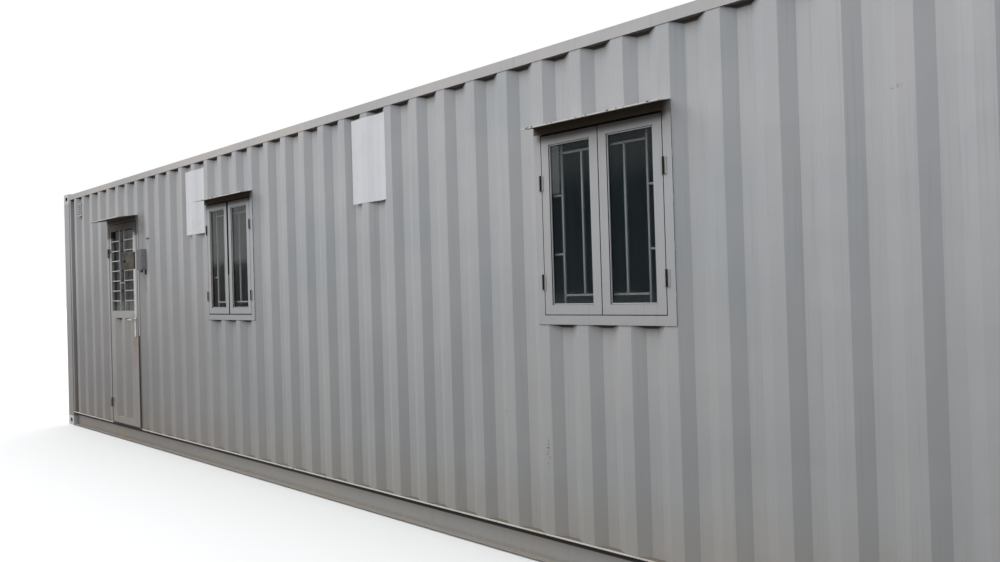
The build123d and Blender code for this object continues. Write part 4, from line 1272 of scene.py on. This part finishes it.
def cargo_seals():
    """Rubber seals round both cargo doors."""
    bm = bmesh.new()
    for name in ("cargo_door_left", "cargo_door_right"):
        low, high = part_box(name)
        x0, x1 = high.x - 0.001, high.x + SEAL_HEIGHT
        far_edge = SEAL_OVER - SEAL_WIDTH
        for z in (low.z - SEAL_OVER, high.z + far_edge):
            add_bar(bm, (x0, low.y, z), (x1, high.y, z + SEAL_WIDTH), 0.0015)
        for y in (low.y - SEAL_OVER, high.y + far_edge):
            add_bar(bm, (x0, y, low.z), (x1, y + SEAL_WIDTH, high.z), 0.0015)
    return add_piece("cargo_door_seals", bm, "rubber")


# Cams at the ends of the locking bars, catches of the handles and bolts of the hinges
CAM_HEIGHT = 0.060
CAM_HALF_WIDTH = 0.034
CAM_BEHIND = 0.006
CAM_OUT = 0.008
CATCH_HALF_WIDTH = 0.022
CATCH_HALF_HEIGHT = 0.04
CATCH_INSET = 0.05
BOLT_INSET = 0.025
BOLT_PLACES = (0.022, 0.058)
BOLT_BEHIND = 0.009
BOLT_HEAD = ((-0.001, 0.011), (0.004, 0.011), (0.006, 0.008))


def bar_cams(bm, door_face):
    """A block at each end of every locking bar."""
    for low, high in solid_boxes("locking_bars"):
        y = (low.y + high.y) / 2
        for z in (low.z + 0.002, high.z - CAM_HEIGHT - 0.002):
            start = (door_face + CAM_BEHIND, y - CAM_HALF_WIDTH, z)
            add_bar(bm, start, (high.x + CAM_OUT, y + CAM_HALF_WIDTH, z + CAM_HEIGHT), 0.006)


def handle_catches(bm, door_face):
    """Two blocks that hold each handle against the door."""
    for low, high in solid_boxes("locking_handles"):
        z = (low.z + high.z) / 2
        for y in (low.y + CATCH_INSET, high.y - CATCH_INSET):
            start = (door_face - 0.001, y - CATCH_HALF_WIDTH, z - CATCH_HALF_HEIGHT)
            add_bar(bm, start, (low.x + 0.001, y + CATCH_HALF_WIDTH, z + CATCH_HALF_HEIGHT), 0.004)


def hinge_bolts(bm, door_face):
    """Bolt heads in pairs on the hinges' blades."""
    for low, high in solid_boxes("cargo_door_hinges"):
        inner, toward = (low.y, 1) if high.y > 0 else (high.y, -1)
        for z in (low.z + BOLT_INSET, (low.z + high.z) / 2, high.z - BOLT_INSET):
            for step in BOLT_PLACES:
                place = (door_face + BOLT_BEHIND, inner + toward * step, z)
                add_turned(bm, BOLT_HEAD, place, (1, 0, 0), sides=12)


def cargo_fittings():
    """Cams on the bars, catches for the handles and bolts of the hinges, in one piece."""
    door_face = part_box("cargo_door_left")[1].x
    bm = bmesh.new()
    bar_cams(bm, door_face)
    handle_catches(bm, door_face)
    hinge_bolts(bm, door_face)
    return add_piece("cargo_door_fittings", bm, "bar")


# Floor and light of the stage
FLOOR_SIZE = 400
FLOOR_SEEN = (0.78, 0.78, 0.77, 1)
FLOOR_BOUNCED = (0.13, 0.12, 0.11, 1)
SKY_LIGHT = (0.94, 0.965, 1.0, 1)
BACKDROP = (1, 1, 1, 1)
HORIZON_LIGHT = 0.38
ZENITH_LIGHT = 1.50
ZENITH_START = 0.75
SUN_STRENGTH = 1.5
SUN_SPREAD = math.radians(50)
SUN_COLOUR = (1.0, 0.985, 0.96)
SUN_DIRECTION = (0.72, 0.72, -0.82)


def make_floor():
    """Floor that is pale to the camera and throws as little light as bare ground."""
    bpy.ops.mesh.primitive_plane_add(size=FLOOR_SIZE, location=(0, 0, 0))
    floor = bpy.context.object
    floor.name = "stage_floor"
    s = Shader("stage_floor")
    path = s.node("ShaderNodeLightPath").outputs
    seen = s.math("MAXIMUM", path["Is Camera Ray"], path["Is Glossy Ray"])
    s.colour = s.mix(seen, FLOOR_BOUNCED, FLOOR_SEEN)
    floor.data.materials.append(s.finish(1.0, shine=0.0))


def make_sky():
    """Even sky that brightens upwards, and plain white where the camera or a reflection sees it."""
    world = bpy.data.worlds.new("sky")
    bpy.context.scene.world = world
    world.use_nodes = True
    world.node_tree.nodes.clear()
    sky = NodeTree(world.node_tree)
    direction = sky.node("ShaderNodeTexCoord").outputs["Generated"]
    height = sky.node("ShaderNodeSeparateXYZ", {"Vector": direction}).outputs["Z"]
    limits = {"From Max": ZENITH_START, "To Min": HORIZON_LIGHT, "To Max": ZENITH_LIGHT}
    strength = sky.node("ShaderNodeMapRange", {"Value": height, **limits}).outputs["Result"]
    soft = sky.node("ShaderNodeBackground", {"Color": SKY_LIGHT, "Strength": strength})
    white = sky.node("ShaderNodeBackground", {"Color": BACKDROP, "Strength": 1.0})
    path = sky.node("ShaderNodeLightPath").outputs
    seen = path["Is Camera Ray"]
    for kind in ("Is Glossy Ray", "Is Transmission Ray"):
        seen = sky.math("MAXIMUM", seen, path[kind])
    choose = sky.node("ShaderNodeMixShader", {0: seen, 1: soft.outputs[0], 2: white.outputs[0]})
    sky.node("ShaderNodeOutputWorld", {"Surface": choose.outputs[0]})


def make_sun():
    """Weak sun, spread so wide that it casts hardly any shadow."""
    sun = bpy.data.objects.new("soft_sun", bpy.data.lights.new("soft_sun", "SUN"))
    sun.data.energy = SUN_STRENGTH
    sun.data.angle = SUN_SPREAD
    sun.data.color = SUN_COLOUR
    sun.rotation_mode = "QUATERNION"
    sun.rotation_quaternion = Vector(SUN_DIRECTION).to_track_quat("-Z", "Y")
    bpy.context.scene.collection.objects.link(sun)


make_camera()
finish_nodes()
for window in ("far", "near"):
    window_bars(window)
    glazing_beads(window)
for name in NOTICES:
    notice(name)
weld_beads()
lock_knob()
padlock()
vent_louvres()
hood_rims()
rail_lip()
cargo_seals()
cargo_fittings()
make_floor()
make_sky()
make_sun()

bpy.context.scene.view_settings.view_transform = "Standard"
